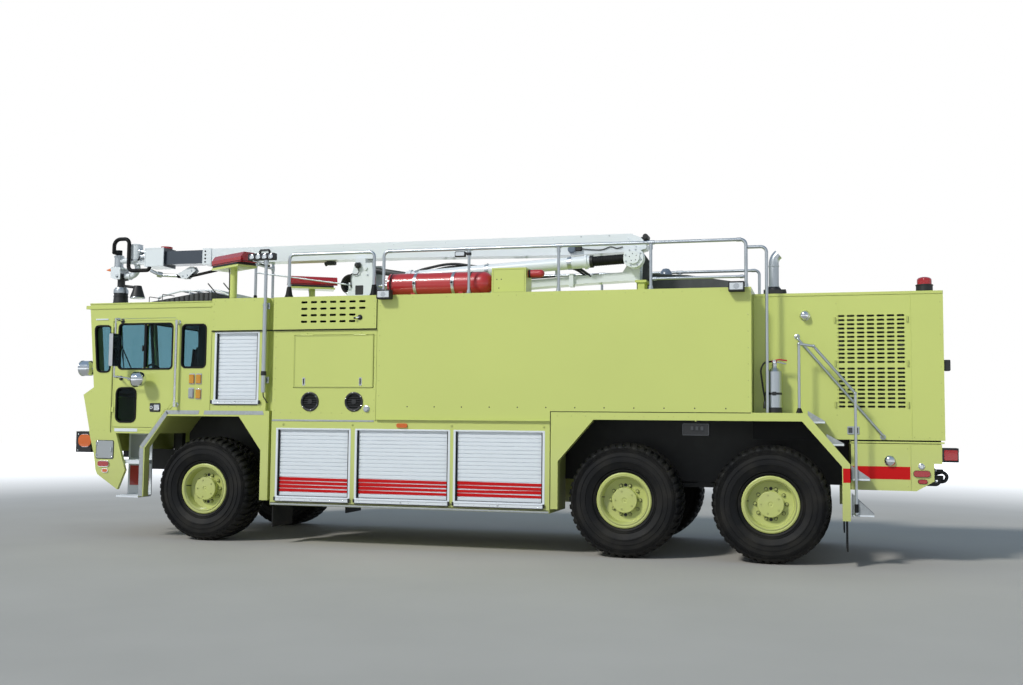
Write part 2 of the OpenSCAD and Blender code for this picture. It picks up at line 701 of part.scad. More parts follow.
// Rear skirt under the housing: side plates, a rear wall and the lamp corners
skirt_top = 1455;
skirt_low = 900;
module rear_skirt() {
    rear = housing_rear_x + 38;
    inside = housing_y - housing_t - seat_gap;
    color(lime) {
        both_sides() {
            plate(housing_y - housing_t, housing_y) polygon([[fender_rear_x - 4, skirt_top],
                [fender_rear_x - 4, skirt_low], [rear + 290, skirt_low], [rear + 90, 1020],
                [rear + 90, 1225], [rear, 1225], [rear, skirt_top]]);
            // Front and rear returns, each with its hanger up to the housing
            span([fender_rear_x - 44, fender_rear_x - 4], [rail_y, inside], [skirt_low, skirt_top]);
            span([fender_rear_x - 44, fender_rear_x - 4], [housing_y - 160, inside], [skirt_top, housing_floor]);
            span([rear + 90, rear + 90 + housing_t], [rail_y + 25, inside], [1020, 1225]);
            span([rear + 90, rear + 90 + housing_t], [housing_y - 160, inside], [1225, housing_floor]);
        }
        span([rear, rear + housing_t], [-inside, inside], [1225, skirt_top]);
    }
}

// Axles: the steered front axle with its forks, and two driven rear axles
spindle_r = 60;
spindle_end = 150;
fork_y = [880, 1100];
fork_z = [118, 168];
module axles() {
    springs();
    color(dark) {
        across(front_axle_x, wheel_z, axle_r, -fork_y[0] - 40, fork_y[0] + 40);
        translate([front_axle_x, 0, wheel_z]) sphere(r = 215, $fn = 72);
        both_sides() difference() {
            union() {
                span([front_axle_x - 70, front_axle_x + 70], [fork_y[0], fork_y[0] + 50],
                    [wheel_z - fork_z[1], wheel_z + fork_z[1]]);
                for (z = [wheel_z - fork_z[1], wheel_z + fork_z[0]])
                    span([front_axle_x - 60, front_axle_x + 60], [fork_y[0], fork_y[1]], [z, z + fork_z[1] - fork_z[0]]);
            }
            translate([front_axle_x, kingpin_y, wheel_z - 300]) cylinder(r = kingpin_r + run_gap, h = 600);
        }
        for (x = [mid_axle_x, rear_axle_x]) {
            across(x, wheel_z, tube_top - wheel_z, -wheel_y + 150, wheel_y - 150);
            translate([x, 0, wheel_z]) sphere(r = 235, $fn = 72);
            both_sides() {
                across(x, wheel_z, spindle_r, wheel_y - 150, wheel_y + spindle_end);
                across(x, wheel_z, 205, wheel_y - 150, wheel_y - 110);
            }
        }
    }
}

// Springs: front leaf packs under the rails, rear packs rocking on a saddle between the axles
leaf_t = 56;
tube_top = wheel_z + axle_r + 14;
module leaf_pack(x, half, z_mid, z_end) {
    rise = abs(z_end - z_mid);
    radius = (half * half + rise * rise) / (2 * rise);
    up = z_end > z_mid ? 1 : -1;
    both_sides() plate(rail_y - rail_w, rail_y) intersection() {
        translate([x, z_mid + up * radius]) difference() {
            circle(radius + leaf_t / 2, $fn = 240);
            circle(radius - leaf_t / 2, $fn = 240);
        }
        translate([x - half, min(z_mid, z_end) - 2 * leaf_t]) square([2 * half, rise + 4 * leaf_t]);
    }
}
module springs() {
    front_mid = wheel_z + axle_r + leaf_t / 2 + 12;
    rear_mid = rail_z - leaf_t / 2 - 14;
    rear_rise = (rear_mid - leaf_t / 2 - tube_top - 1) * pow(1 + 120 / tandem, 2);
    color(steel) {
        leaf_pack(front_axle_x, 720, front_mid, rail_z - leaf_t / 2 - 0.7);
        leaf_pack(fender_mid_x, tandem / 2 + 60, rear_mid, rear_mid - rear_rise);
        both_sides() {
            // Pads on the front axle, and the saddles that the rear packs rock on
            span([front_axle_x - 70, front_axle_x + 70], [rail_y - rail_w, rail_y], [wheel_z, front_mid - leaf_t / 2 - seat_gap]);
            span([fender_mid_x - 90, fender_mid_x + 90], [rail_y - rail_w, rail_y],
                [rear_mid + leaf_t / 2 + seat_gap, rail_z - seat_gap]);
        }
    }
}

// Point at a distance from p on the way to q
function toward(p, q, d) = p + (q - p) * d / norm(q - p);

// Hand rails on the roof, the drop pipe, the cab's grab rails, the stair rails and the mast's tube
rail_line_y = 1450;
mast_x = 2583;
mast_y = half_w + 62;
rail_rear_post = tank_rear_x + 63;
rail_posts = [-285, -1490, -2675];
stair_y = half_w - 34;
stair_line = [[tank_rear_x - 556, 2640], [tank_rear_x - 726, 2612], [fender_rear_x - 66, 2050]];
function on_stair(i) = [stair_line[i][0], stair_y, stair_line[i][1]];
module handrails() {
    bend = 70;
    color(silver) {
        both_sides() {
            hoop(vent_rear_x + 81, 2300, body_top, rail_top, rail_line_y, tube_r, bend);
            hoop(rail_rear_post, tank_front_x - 50, body_top, rail_top, rail_line_y, tube_r, bend);
            for (x = rail_posts) translate([x, rail_line_y, body_top])
                cylinder(r = tube_r - 2, h = rail_top - tube_r - seat_gap - body_top);
            along(rail_line_y, 3478, tube_r - 4, rail_rear_post + tube_r + seat_gap, rail_posts[2] - tube_r + 2 - seat_gap);
            // Grab rail behind the door
            grab(3945, 1844, 3043);
        }
        // Drop pipe from the roof rails to the walkway deck
        along(rail_line_y, 3838, tube_r - 1, rail_rear_post - 175, rail_rear_post - tube_r - seat_gap);
        quarter(rail_rear_post - 175, rail_line_y, 3768, 70, tube_r - 1, 90);
        translate([rail_rear_post - 245, rail_line_y, deck_z]) cylinder(r = tube_r - 1, h = 3768 - seat_gap - deck_z);
        // Stair rail: its post, its slope and its foot on the lowest tread
        translate([stair_line[0][0], stair_y, deck_z]) cylinder(r = 17, h = stair_line[0][1] - 6 - deck_z);
        rod(on_stair(0), on_stair(1), 16);
        for (i = [0:2]) translate(on_stair(i)) sphere(r = 22);
        rod(toward(on_stair(1), on_stair(2), 22 + seat_gap), toward(on_stair(2), on_stair(1), 22 + seat_gap), 17);
        translate([stair_line[2][0], stair_y, 626]) cylinder(r = 17, h = stair_line[2][1] - 626);
        across(stair_line[2][0], 640, 12, half_w - 60, stair_y);
        // Clamps and lower tube of the light mast
        translate([mast_x, mast_y, 2040]) difference() {
            cylinder(r = 30, h = 1210);
            translate([0, 0, 40]) cylinder(r = 22, h = 1300);
        }
        for (c = [[2180, half_w], [3190, half_w + header_t]])
            span([mast_x + 2, mast_x + 36], [c[1], mast_y - 25], [c[0], c[0] + 60]);
    }
}
module grab(x, z0, z1) {
    y = half_w + 60;
    translate([x, y, z0]) cylinder(r = 17, h = z1 - z0);
    for (z = [z0 + 24, z1 - 24]) across(x, z, 15, half_w, y);
}

// Light bars on posts at the front corners of the roof, turned in a shallow V
bar_len = 790;
bar_turn = 30;
bar_at = [3263, 1255];
module light_bars() {
    both_sides() translate([bar_at[0], bar_at[1], 0]) rotate([0, 0, -bar_turn]) {
        color(red) translate([-bar_len / 2, 0, 3850]) rotate([90, 0, 90]) linear_extrude(bar_len)
            polygon([[-130, 0], [130, 0], [130, 70], [80, 140], [-80, 140], [-130, 70]]);
        color(dark) translate([-bar_len / 2 + 60, -140, 3815]) cube([bar_len - 120, 280, 35]);
    }
    color(lime) both_sides() translate([bar_at[0], bar_at[1], 0]) {
        translate([0, 0, body_top]) cylinder(r = 50, h = 3790 - body_top);
        rotate([0, 0, -bar_turn]) translate([-bar_len / 2 + 40, -150, 3785]) cube([bar_len - 80, 300, 30]);
    }
}

// Dark units on the roofs: the cab's cooling unit and the air intake hood
module roof_units() {
    color(dark) {
        plate(-950, 950) polygon([[cab_front_x - 271, cab_top + roof_t], [cab_front_x - 271, cab_top + roof_t + 20],
            [cab_rear_x + 573, 3505], [cab_rear_x + 363, 3505], [cab_rear_x + 363, cab_top + roof_t]]);
        plate(-1250, -500) polygon([[-2180, body_top], [-2180, 3760], [-2350, 3800], [-2900, 3770],
            [-3610, 3650], [-3700, body_top]]);
    }
}

// Red agent cylinder in its cradle, the small one behind the valve box, and the hand extinguisher
module agent_cylinders() {
    color(red) {
        along(1200, body_top + agent_r + 12, agent_r, -400, 900);
        translate([-400, 1200, body_top + agent_r + 12]) sphere(r = agent_r, $fn = 72);
        for (x = [-150, 520]) span([x, x + 60], [1200 - 100, 1200 + 100], [body_top, body_top + 60]);
        along(1200, 3615, 52, -1190, -1026 - seat_gap);
        translate([-1190, 1200, 3615]) sphere(r = 52);
    }
    color(silver) {
        translate([tank_rear_x - 264, 1362, deck_z]) {
            cylinder(r = 84, h = 500);
            translate([0, 0, 500]) cylinder(r1 = 84, r2 = 34, h = 50);
            translate([0, 0, 550]) cylinder(r = 30, h = 60);
        }
    }
}

// Exhaust stack on the housing, with its tip turned back
module exhaust_stack() {
    x = tank_rear_x - 247;
    y = 950;
    color(silver) {
        translate([x, y, housing_top]) cylinder(r = stack_r, h = 3690 - housing_top);
        translate([x - 150, y, 3690]) rotate([90, 0, 0]) rotate_extrude(angle = 50)
            translate([150, 0]) circle(stack_r);
    }
    color(dark) span([x - 150, x + 120], [y - 160, y + 160], [housing_top, housing_top + 60]);
}

// Clear lamps: head lamps, spot lamps, floodlights, dome lamps and the rear work lamp
spot = [5480, 1440, 2385];
module lamps() {
    color(white) {
        both_sides() {
            span([bumper_x[1] - lamp_deep + seat_gap, bumper_x[1] + 6],
                [head_lamp_y[0] + seat_gap, head_lamp_y[1] - seat_gap], [head_lamp_z[0] + seat_gap, head_lamp_z[1] - seat_gap]);
            along(spot[1], spot[2], 108, spot[0] - 70, spot[0] + 60);
            span([windscreen_foot_x + (spot[2] + 16 - windscreen_foot_z) * lean + seat_gap, spot[0] - 60],
                [spot[1] - 16, spot[1] + 16], [spot[2] - 16, spot[2] + 16]);
            // Floodlights on the top edge of the body
            for (x = [835, -3741]) floodlight(x);
        }
        across(-4531, 3009, 48, housing_y, housing_y + 55);
        across(-5500, 1253, 50, housing_y, housing_y + 50);
        span([housing_rear_x - 70, housing_rear_x], [housing_y - 170, housing_y - 40], [2330, 2460]);
        // Rotating beacon's base and dome
        translate([-5940, 900, housing_top]) {
            cylinder(r = 98, h = 90);
            translate([0, 0, 90]) cylinder(r = 86, h = 60);
        }
    }
}
module floodlight(x) {
    span([x - 95, x + 95], [half_w + header_t, half_w + header_t + 110], [body_top - 60, body_top + 55]);
    span([x - 20, x + 20], [half_w - 60, half_w + header_t], [body_top, body_top + 30]);
}

// Coloured lamps: tail lamps, ovals on the corners, side markers
module marker_lamps() {
    tail_x = housing_rear_x + 38;
    color(red) both_sides() {
        span([tail_x - 184, tail_x], [housing_y - 260, housing_y - 5], [1258, 1400]);
        marker(-5858, 1105, 92, 34, housing_y, 24);
        marker(-5866, 1013, 50, 22, housing_y, 16);
        marker(5088, 1030, 86, 36, half_w, 24);
    }
    color(amber) both_sides() {
        marker(5060, 935, 42, 22, half_w, 14);
        marker(584, 1612, 75, 28, half_w, 22);
        marker(5445, 1350, 54, 88, bumper_y, 16);
    }
}
module marker(x, z, half_l, half_h, y, t) {
    plate(y, y + t) round_rect([x - half_l, x + half_l], [z - half_h, z + half_h], half_h * 0.9);
}

// Boom pedestal: two white side plates on a turntable, and the rest under the boom's rear
ped_in = 160;
ped_t = 30;
barrel_pin = [root_x + 10, 3900];
module boom_pedestal() {
    color(white) difference() {
        union() {
            translate([root_x + 60, 0, body_top]) cylinder(r = 330, h = 60, $fn = 72);
            both_sides() plate(ped_in, ped_in + ped_t) polygon([[root_x - 130, body_top + 60],
                [root_x + 330, body_top + 60], [root_x + 190, boom_foot - 70], [root_x - 90, boom_foot - 70]]);
            // Manifold between the plates, ahead of the arm's hinge
            span([root_x + 200, root_x + 290], [-ped_in, ped_in], [body_top + 60, 3700]);
            span([root_x + 100, root_x + 190], [-ped_in, ped_in], [3860, boom_foot - 90]);
            // Saddle that the upper boom rests on
            span([root_x + 20, root_x + 180], [-ped_in - ped_t, ped_in + ped_t], [boom_foot - 90, boom_foot - seat_gap]);
        }
        across(root_x, root_z, 36, -300, 300);
        across(barrel_pin[0], barrel_pin[1], 26, -300, 300);
    }
    // Hinge pins in the plates
    color(steel) {
        both_sides() {
            across(root_x, root_z, 36 - run_gap, lower_w / 2 - 60, ped_in + ped_t + 20);
            across(barrel_pin[0], barrel_pin[1], 26 - run_gap, ped_in - 70, ped_in + ped_t + 20);
        }
    }
    // Rest under the knuckle
    color(lime) {
        span([-2420, -2265], [-160, 160], [body_top, body_top + 30]);
        both_sides() span([-2390, -2295], [110, 135], [body_top + 30, 3600]);
        span([-2420, -2265], [-160, 160], [3600, rest_z - seat_gap]);
    }
}
rest_z = 3632;

// Hydraulic hoses in loops ahead of the pedestal, from the lower manifold to the upper one
module pedestal_hoses() {
    color(rubber) for (i = [0:3]) translate([root_x + 290, -105 + i * 70, 3680]) {
        rotate([90, 0, 0]) rotate([0, 0, -90]) rotate_extrude(angle = 180) translate([130, 0]) circle(22);
        translate([-100, 0, 130]) rotate([0, 90, 0]) cylinder(r = 22, h = 100);
    }
}

// Flaps behind the wheels
module mud_flaps() {
    color(rubber) both_sides() {
        span([locker_front_x - 40, locker_front_x - 20], [wheel_y - 280, half_w - 30], [230, locker_z]);
        span([fender_rear_x + 30, fender_rear_x + 46], [wheel_y - 280, half_w - 10], [190, arch_foot_z - 35]);
    }
}

// Light mast: the sliding tube with its floodlight head
module light_mast() {
    color(silver) {
        translate([mast_x, mast_y, 2100]) cylinder(r = 22 - run_gap, h = 1750);
        span([mast_x - 130, mast_x + 250], [mast_y - 45, mast_y + 45], [3850, 3940]);
    }
}

// Steering knuckle: the block in the fork, its kingpin and the wheel's spindle
module knuckle() {
    color(dark) {
        span([front_axle_x - 55, front_axle_x + 55], [kingpin_y - 55, kingpin_y + 75],
            [wheel_z - fork_z[0] + run_gap, wheel_z + fork_z[0] - run_gap]);
        translate([front_axle_x, kingpin_y, wheel_z - fork_z[1] - 12]) cylinder(r = kingpin_r, h = 2 * fork_z[1] + 24);
        across(front_axle_x, wheel_z, spindle_r, kingpin_y, wheel_y + spindle_end);
    }
}

// Tyre at the origin, axis along Y
tyre_side = tyre_w / 2;
module tyre_body() {
    color(rubber) rotate([90, 0, 0]) rotate_extrude($fn = 96) polygon([
        for (s = [1, -1], p = s > 0 ? tyre_half : [for (i = [len(tyre_half) - 1:-1:0]) tyre_half[i]])
            [p[0], s * p[1]]]);
}
bead_y = 212;
tyre_half = [[rim_r - 45, bead_y], [rim_r + 4, bead_y], [rim_r + 10, bead_y + 30], [430, tyre_side - 14],
    [500, tyre_side], [tyre_r - 86, tyre_side - 8], [tyre_r - 32, tyre_side - 36], [tyre_r - 5, tyre_side - 92],
    [tyre_r, tyre_side - 150]];

// Rim at the origin: outer flange towards +Y, deep dish, bolt disc and hub
module rim_body() {
    color(lime) rotate([-90, 0, 0]) rotate_extrude($fn = 96) polygon([
        [spindle_r + run_gap, -60], [190, -60], [190, 78], [258, 86], [262, -205], [rim_r - 62, -bead_y - 26],
        [rim_r, -bead_y - 26], [rim_r, -bead_y - 1], [rim_r - 46, -bead_y - 1],
        [rim_r - 46, bead_y + 1], [rim_r, bead_y + 1], [rim_r, bead_y + 24], [rim_r - 14, bead_y + 32],
        [rim_r - 46, bead_y + 26], [rim_r - 60, bead_y + 10], [272, 118], [190, 108], [150, 108],
        [136, bead_y - 24], [122, bead_y - 18], [0, bead_y - 18], [0, spindle_end + 6],
        [spindle_r + run_gap, spindle_end + 6]]);
}

// A wheel piece at its axle; side is 1 on the left and -1 on the right
module at_wheel(x, side) {
    translate([x, side * wheel_y, wheel_z]) mirror([0, side < 0 ? 1 : 0, 0]) children();
}

// Door with its windows cut out, its handle, and the mirror on its arms
mirror_y = 1760;
module door() {
    color(lime) difference() {
        plate(door_in_y, half_w) polygon(door_outline(door_gap));
        plate(door_in_y - 1, half_w + 1) {
            round_rect([door_window_x[0], door_divider_x - 12], door_window_z, window_r);
            round_rect([door_divider_x + 12, door_window_x[1]], door_window_z, window_r);
            round_rect(low_window_x, low_window_z, window_r + 20);
        }
    }
    color(lime) for (z = door_hinges) door_hinge(z, hinge_x - 45, hinge_x);
    color(dark) {
        across(4690, 2215, 12, half_w - 1, half_w + 50);
        across(4560, 2215, 12, half_w - 1, half_w + 50);
        along(half_w + 44, 2215, 12, 4540, 4710);
        // Mirror arms and the long mirror
        rod([4850, half_w - 1, 3050], [4800, mirror_y, 3060], 12);
        rod([4800, mirror_y, 3060], [4800, mirror_y, 2250], 12);
        rod([4850, half_w - 1, 2240], [4800, mirror_y, 2250], 12);
        for (z = [3060, 2250]) translate([4800, mirror_y, z]) sphere(r = 14);
        span([4775, 4830], [mirror_y - 90, mirror_y + 90], [2400, 2850]);
        // Round mirror under it
        rod([4800, mirror_y, 2260], [4500, mirror_y - 60, 2215], 10);
        along(mirror_y - 60, 2215, 105, 4440, 4505);
    }
}
module door_glass() {
    color(glass) plate(half_w - 25 - glass_t, half_w - 25) {
        round_rect([door_window_x[0] + seat_gap, door_divider_x - 12 - seat_gap],
            [door_window_z[0] + seat_gap, door_window_z[1] - seat_gap], window_r - seat_gap);
        round_rect([door_divider_x + 12 + seat_gap, door_window_x[1] - seat_gap],
            [door_window_z[0] + seat_gap, door_window_z[1] - seat_gap], window_r - seat_gap);
        round_rect([low_window_x[0] + seat_gap, low_window_x[1] - seat_gap],
            [low_window_z[0] + seat_gap, low_window_z[1] - seat_gap], window_r + 20 - seat_gap);
    }
}

// Lower boom: an arm from the pedestal back to the knuckle, with the water pipe on it
arm_front = [root_x, root_z];
arm_rear_z = 3704;
rod_eye = [520, 3700];
module lower_boom() {
    w = lower_w / 2;
    color(white) {
        difference() {
            union() {
                plate(-w, w) polygon([[root_x - 60, root_z - 62], [root_x - 60, root_z + 62],
                    [-1500, arm_rear_z + 10], [knuckle_x - 60, arm_rear_z + 60], [knuckle_x - 60, rest_z],
                    [knuckle_x + 110, rest_z], [-1500, arm_rear_z - 100]]);
                across(root_x, root_z, 68, -w, w);
                // Ears up to the boom's rear hinge
                both_sides() plate(w - 26, w) polygon([[knuckle_x + 190, arm_rear_z + 30], [knuckle_x + 62, knuckle_z],
                    [knuckle_x + 50, knuckle_z + 62], [knuckle_x - 50, knuckle_z + 62], [knuckle_x - 72, knuckle_z],
                    [knuckle_x - 60, arm_rear_z]]);
                // Ears on both sides of the lift cylinder's rod
                both_sides() plate(42, 64) polygon([[rod_eye[0] - 90, 3600], [rod_eye[0] - 40, rod_eye[1] + 40],
                    [rod_eye[0] + 40, rod_eye[1] + 40], [rod_eye[0] + 90, 3580]]);
            }
            across(root_x, root_z, 36, -300, 300);
            across(knuckle_x, knuckle_z, 40 + run_gap, -300, 300);
        }
        // Heads of the rod's pin
        both_sides() across(rod_eye[0], rod_eye[1], 26, 64, 74);
        // Water pipe on its brackets, beside the arm
        rod([1050, w + 20 + pipe_r, 3745], [-1650, w + 20 + pipe_r, 3895], pipe_r);
        for (x = [850, -200, -1400]) span([x, x + 60], [w - 60, w + 60], [3560, 3740]);
    }
    // Hose between the pipe and the swivel
    hose_end = toward([knuckle_x, w + 20 + pipe_r, knuckle_z], [-1650, w + 20 + pipe_r, 3895], swivel_r + 8);
    color(rubber) rod([-1650, w + 20 + pipe_r, 3895], hose_end, pipe_r - 18);
}

// Lift cylinder of the lower boom: the barrel hangs in the pedestal, the rod pulls on the arm
lift_v = [rod_eye[0] - barrel_pin[0], rod_eye[1] - barrel_pin[1]];
lift_l = norm(lift_v);
lift_a = atan2(lift_v[1], -lift_v[0]);
module on_lift() {
    translate([barrel_pin[0], 0, barrel_pin[1]]) rotate([0, lift_a, 0]) children();
}
module lift_barrel() {
    color(steel) on_lift() difference() {
        union() {
            rotate([0, -90, 0]) translate([0, 0, 40]) cylinder(r = 48, h = 640);
            rotate([90, 0, 0]) cylinder(r = 50, h = 2 * ped_in - 20, center = true);
        }
        rotate([0, -90, 0]) translate([0, 0, 150]) cylinder(r = 30 + run_gap, h = 700);
        rotate([90, 0, 0]) cylinder(r = 26, h = 600, center = true);
    }
}
module lift_rod() {
    color(silver) on_lift() difference() {
        union() {
            rotate([0, -90, 0]) translate([0, 0, 600]) cylinder(r = 30, h = lift_l - 620);
            translate([-lift_l, 0, 0]) rotate([90, 0, 0]) cylinder(r = 38, h = 84 - 2 * seat_gap, center = true);
        }
        translate([-lift_l, 0, 0]) rotate([90, 0, 0]) cylinder(r = 18 + run_gap, h = 100, center = true);
    }
}

// Knuckle between the two booms: its hinge drum, the water swivel on the left and the levelling lever
swivel_r = 138;
swivel_y = [boom_w / 2 + 8, boom_w / 2 + 165];
lever_t = 24;
module boom_knuckle() {
    w = lower_w / 2 - 26 - 2;
    color(white) {
        across(knuckle_x, knuckle_z, 40, -swivel_y[0] - lever_t, swivel_y[1] + 20);
        across(knuckle_x, knuckle_z, 60, -w, w);
        across(knuckle_x, knuckle_z, swivel_r, swivel_y[0], swivel_y[1]);
        across(knuckle_x, knuckle_z, swivel_r - 50, swivel_y[1], swivel_y[1] + 26);
    }
    color(dark) plate(-swivel_y[0] - lever_t, -swivel_y[0]) polygon([for (p = [[-190, -240], [-60, -240],
        [90, -90], [150, 0], [90, 120], [-60, 140], [-190, -40]]) [knuckle_x + p[0], knuckle_z + p[1]]]);
}

// Upper boom: a tapered box tube, open at its front collar, hung on the knuckle
module upper_boom() {
    w = boom_w / 2;
    tail_x = knuckle_x - 150;
    color(white) difference() {
        union() {
            plate(-w, w) polygon([[boom_front_x - 140, boom_foot], [boom_front_x - 140, boom_top],
                [tail_x + 210, boom_top], [tail_x + 70, boom_top - 60], [tail_x, boom_top - 148],
                [tail_x, boom_foot + 20], [tail_x + 70, boom_foot], [knuckle_x + 110, boom_foot - 20],
                [knuckle_x + 900, boom_foot - 40], [1200, boom_foot]]);
            span([boom_front_x - 140, boom_front_x], [-w - 10, w + 10], [boom_foot - 10, boom_top + 8]);
            // Hanger down to the hinge drum
            plate(-hang_w, hang_w) polygon([[knuckle_x - 74, boom_foot + 20], [knuckle_x - 74, knuckle_z + 20],
                [knuckle_x + 74, knuckle_z + 20], [knuckle_x + 150, boom_foot + 20]]);
            across(knuckle_x, knuckle_z, 84, -hang_w, hang_w);
        }
        span([tail_x + 240, boom_front_x + 1], [-w + boom_t, w - boom_t], [boom_foot + boom_t, boom_top - boom_t]);
        across(knuckle_x, knuckle_z, 60 + run_gap, -300, 300);
    }
    // Wear pads that the sliding section runs on
    pad = slide_gap - seat_gap;
    pad_x = [boom_front_x - 130, boom_front_x - 20];
    color(dark) {
        for (z = [boom_foot + boom_t, boom_top - boom_t - pad]) span(pad_x, [-60, 60], [z, z + pad]);
        both_sides() span(pad_x, [w - boom_t - pad, w - boom_t], [boom_foot + 70, boom_top - 70]);
    }
}
hang_w = 80;

// Sliding section with the head at its tip: valve box, water pipe and the nozzle's fork
head_box = [340, 170, 295];
tilt_x = head_x - 25;
tilt_z = 3905;
column_x = tilt_x + 54;
pipe_z = 3912;
module boom_inner() {
    w = inner_w / 2;
    bend = 124;
    color(steel) difference() {
        span([inner_front_x - inner_len, inner_front_x], [-w, w], [inner_z, inner_z + inner_h]);
        span([inner_front_x - inner_len - 1, inner_front_x - 12], [-w + boom_t, w - boom_t],
            [inner_z + boom_t, inner_z + inner_h - boom_t]);
    }
    color(white) {
        span([inner_front_x, inner_front_x + head_box[0]], [-head_box[1], head_box[1]],
            [boom_foot - 20, boom_foot - 20 + head_box[2]]);
        span([inner_front_x + head_box[0], inner_front_x + 620], [-60, 60], [4090, 4150]);
        // Valve can on the arm
        translate([inner_front_x + 600, 0, 4136]) cylinder(r = 98, h = 254);
        // C bend of the water pipe, from the column back and down to the nozzle
        quarter(tilt_x - 165, 0, 4036, bend, 44, 90);
        quarter(tilt_x - 165, 0, 4036, bend, 44, 180);
        along(0, 4036 + bend, 44, tilt_x - 165, column_x);
        along(0, 4036 - bend, 44, tilt_x - 165, tilt_x - 75);
        // Column, fork and piercing tip
        translate([column_x, 0, 4024]) cylinder(r = 68, h = 220);
        difference() {
            both_sides() plate(fork_in, fork_in + 18) polygon([[tilt_x - 52, tilt_z - 50], [tilt_x - 52, 4040],
                [column_x + 60, 4040], [column_x + 60, tilt_z - 20], [tilt_x + 40, tilt_z - 50]]);
            across(tilt_x, tilt_z, 22 + run_gap, -200, 200);
        }
        span([tilt_x - 52, column_x + 60], [-fork_in - 18, fork_in + 18], [4024, 4046]);
        along(0, 4020, 45, column_x, column_x + 106);
    }
    color(amber) translate([column_x + 106, 0, 4020]) rotate([0, 90, 0]) cylinder(r1 = 38, r2 = 6, h = 115);
    color(red) translate([inner_front_x + 60, 0, boom_foot - 20 + head_box[2]]) cylinder(r = 90, h = 30);
}
fork_in = 104;

// Hose loop over the head: from the column's top, back over the can, down its side and under the box
hose_y = 137;
hose_x = [inner_front_x + 239, inner_front_x + 319, inner_front_x + 564, inner_front_x + 644,
    inner_front_x + 724, column_x - 110];
module head_hoses() {
    foot = boom_foot - 20 - seat_gap;
    color(rubber) {
        translate([column_x, 0, 4244 + seat_gap]) cylinder(r = 46, h = 84);
        across(column_x, 4285, 38, 0, hose_y);
        translate([column_x, hose_y, 4285]) cylinder(r = 30, h = 90);
        quarter(hose_x[5], hose_y, 4375, 110, 30, 0);
        along(hose_y, 4485, 30, hose_x[4], hose_x[5]);
        quarter(hose_x[4], hose_y, 4405, 80, 30, 90);
        translate([hose_x[3], hose_y, foot + 30]) cylinder(r = 30, h = 4405 - foot - 30);
        quarter(hose_x[2], hose_y, foot + 30, 80, 30, 270);
        along(hose_y, foot - 50, 30, hose_x[1], hose_x[2]);
        quarter(hose_x[1], hose_y, foot, 50, 30, 180);
    }
}

// Nozzle with its lamp, hanging from the fork and pointing down
module nozzle() {
    color(dark) {
        across(tilt_x, tilt_z, 56, -fork_in + 6, fork_in - 6);
        across(tilt_x, tilt_z, 22, -fork_in - 26, fork_in + 26);
        translate([tilt_x, 0, tilt_z - 260]) cylinder(r = 58, h = 240);
        translate([tilt_x, 0, tilt_z - 275]) cylinder(r1 = 112, r2 = 90, h = 100);
        translate([tilt_x, 0, tilt_z - 455]) cylinder(r1 = 118, r2 = 104, h = 180);
        // Lamp on its arm
        rod([tilt_x, 0, tilt_z - 140], [tilt_x - 290, 0, tilt_z - 175], 22);
        translate([tilt_x - 302, 0, tilt_z - 340]) cylinder(r1 = 116, r2 = 56, h = 192);
    }
}

chassis_frame();
front_bumper();
front_skirt();
cab_shell();
cab_roof();
cab_glass();
cab_interior();
steps();
front_fenders();
front_block();
vent_section();
tank_body();
lower_lockers();
roller_shutters();
rear_fenders();
engine_housing();
engine_block();
rear_skirt();
body_mounts();
axles();
handrails();
light_bars();
roof_units();
agent_cylinders();
exhaust_stack();
lamps();
marker_lamps();
boom_pedestal();
pedestal_hoses();
mud_flaps();
light_mast();
knuckle();  // knuckle_left
mirror([0, 1, 0]) knuckle();  // knuckle_right
at_wheel(front_axle_x, 1) tyre_body();  // tyre_front_left
at_wheel(front_axle_x, -1) tyre_body();  // tyre_front_right
at_wheel(mid_axle_x, 1) tyre_body();  // tyre_mid_left
at_wheel(mid_axle_x, -1) tyre_body();  // tyre_mid_right
at_wheel(rear_axle_x, 1) tyre_body();  // tyre_rear_left
at_wheel(rear_axle_x, -1) tyre_body();  // tyre_rear_right
at_wheel(front_axle_x, 1) rim_body();  // rim_front_left
at_wheel(front_axle_x, -1) rim_body();  // rim_front_right
at_wheel(mid_axle_x, 1) rim_body();  // rim_mid_left
at_wheel(mid_axle_x, -1) rim_body();  // rim_mid_right
at_wheel(rear_axle_x, 1) rim_body();  // rim_rear_left
at_wheel(rear_axle_x, -1) rim_body();  // rim_rear_right
door();  // door_left
mirror([0, 1, 0]) door();  // door_right
flap();  // flap_left
mirror([0, 1, 0]) flap();  // flap_right
door_glass();  // door_glass_left
mirror([0, 1, 0]) door_glass();  // door_glass_right
lower_boom();
lift_barrel();
lift_rod();
boom_knuckle();
upper_boom();
boom_inner();
head_hoses();
nozzle();
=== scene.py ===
"""Looks of an airport fire truck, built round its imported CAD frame: paint, tyres, rubber, lamps and trim."""

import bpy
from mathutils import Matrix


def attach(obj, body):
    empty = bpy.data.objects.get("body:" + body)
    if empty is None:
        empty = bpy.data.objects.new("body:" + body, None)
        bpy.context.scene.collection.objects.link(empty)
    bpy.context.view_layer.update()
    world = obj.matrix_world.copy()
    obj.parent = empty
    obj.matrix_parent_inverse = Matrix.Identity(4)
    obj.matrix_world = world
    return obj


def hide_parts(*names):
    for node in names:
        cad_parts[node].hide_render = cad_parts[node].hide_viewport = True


bl_info = {
    "name": "Airport fire truck",
    "version": (1, 0, 0),
    "blender": (4, 5, 0),
    "location": "View3D > Sidebar > Truck",
    "description": "Builds the looks of an airport fire truck on its CAD frame",
    "category": "Object",
}

from math import atan2, cos, exp, pi, radians, sin, sqrt

import bmesh
import bpy
from mathutils import Matrix, Vector

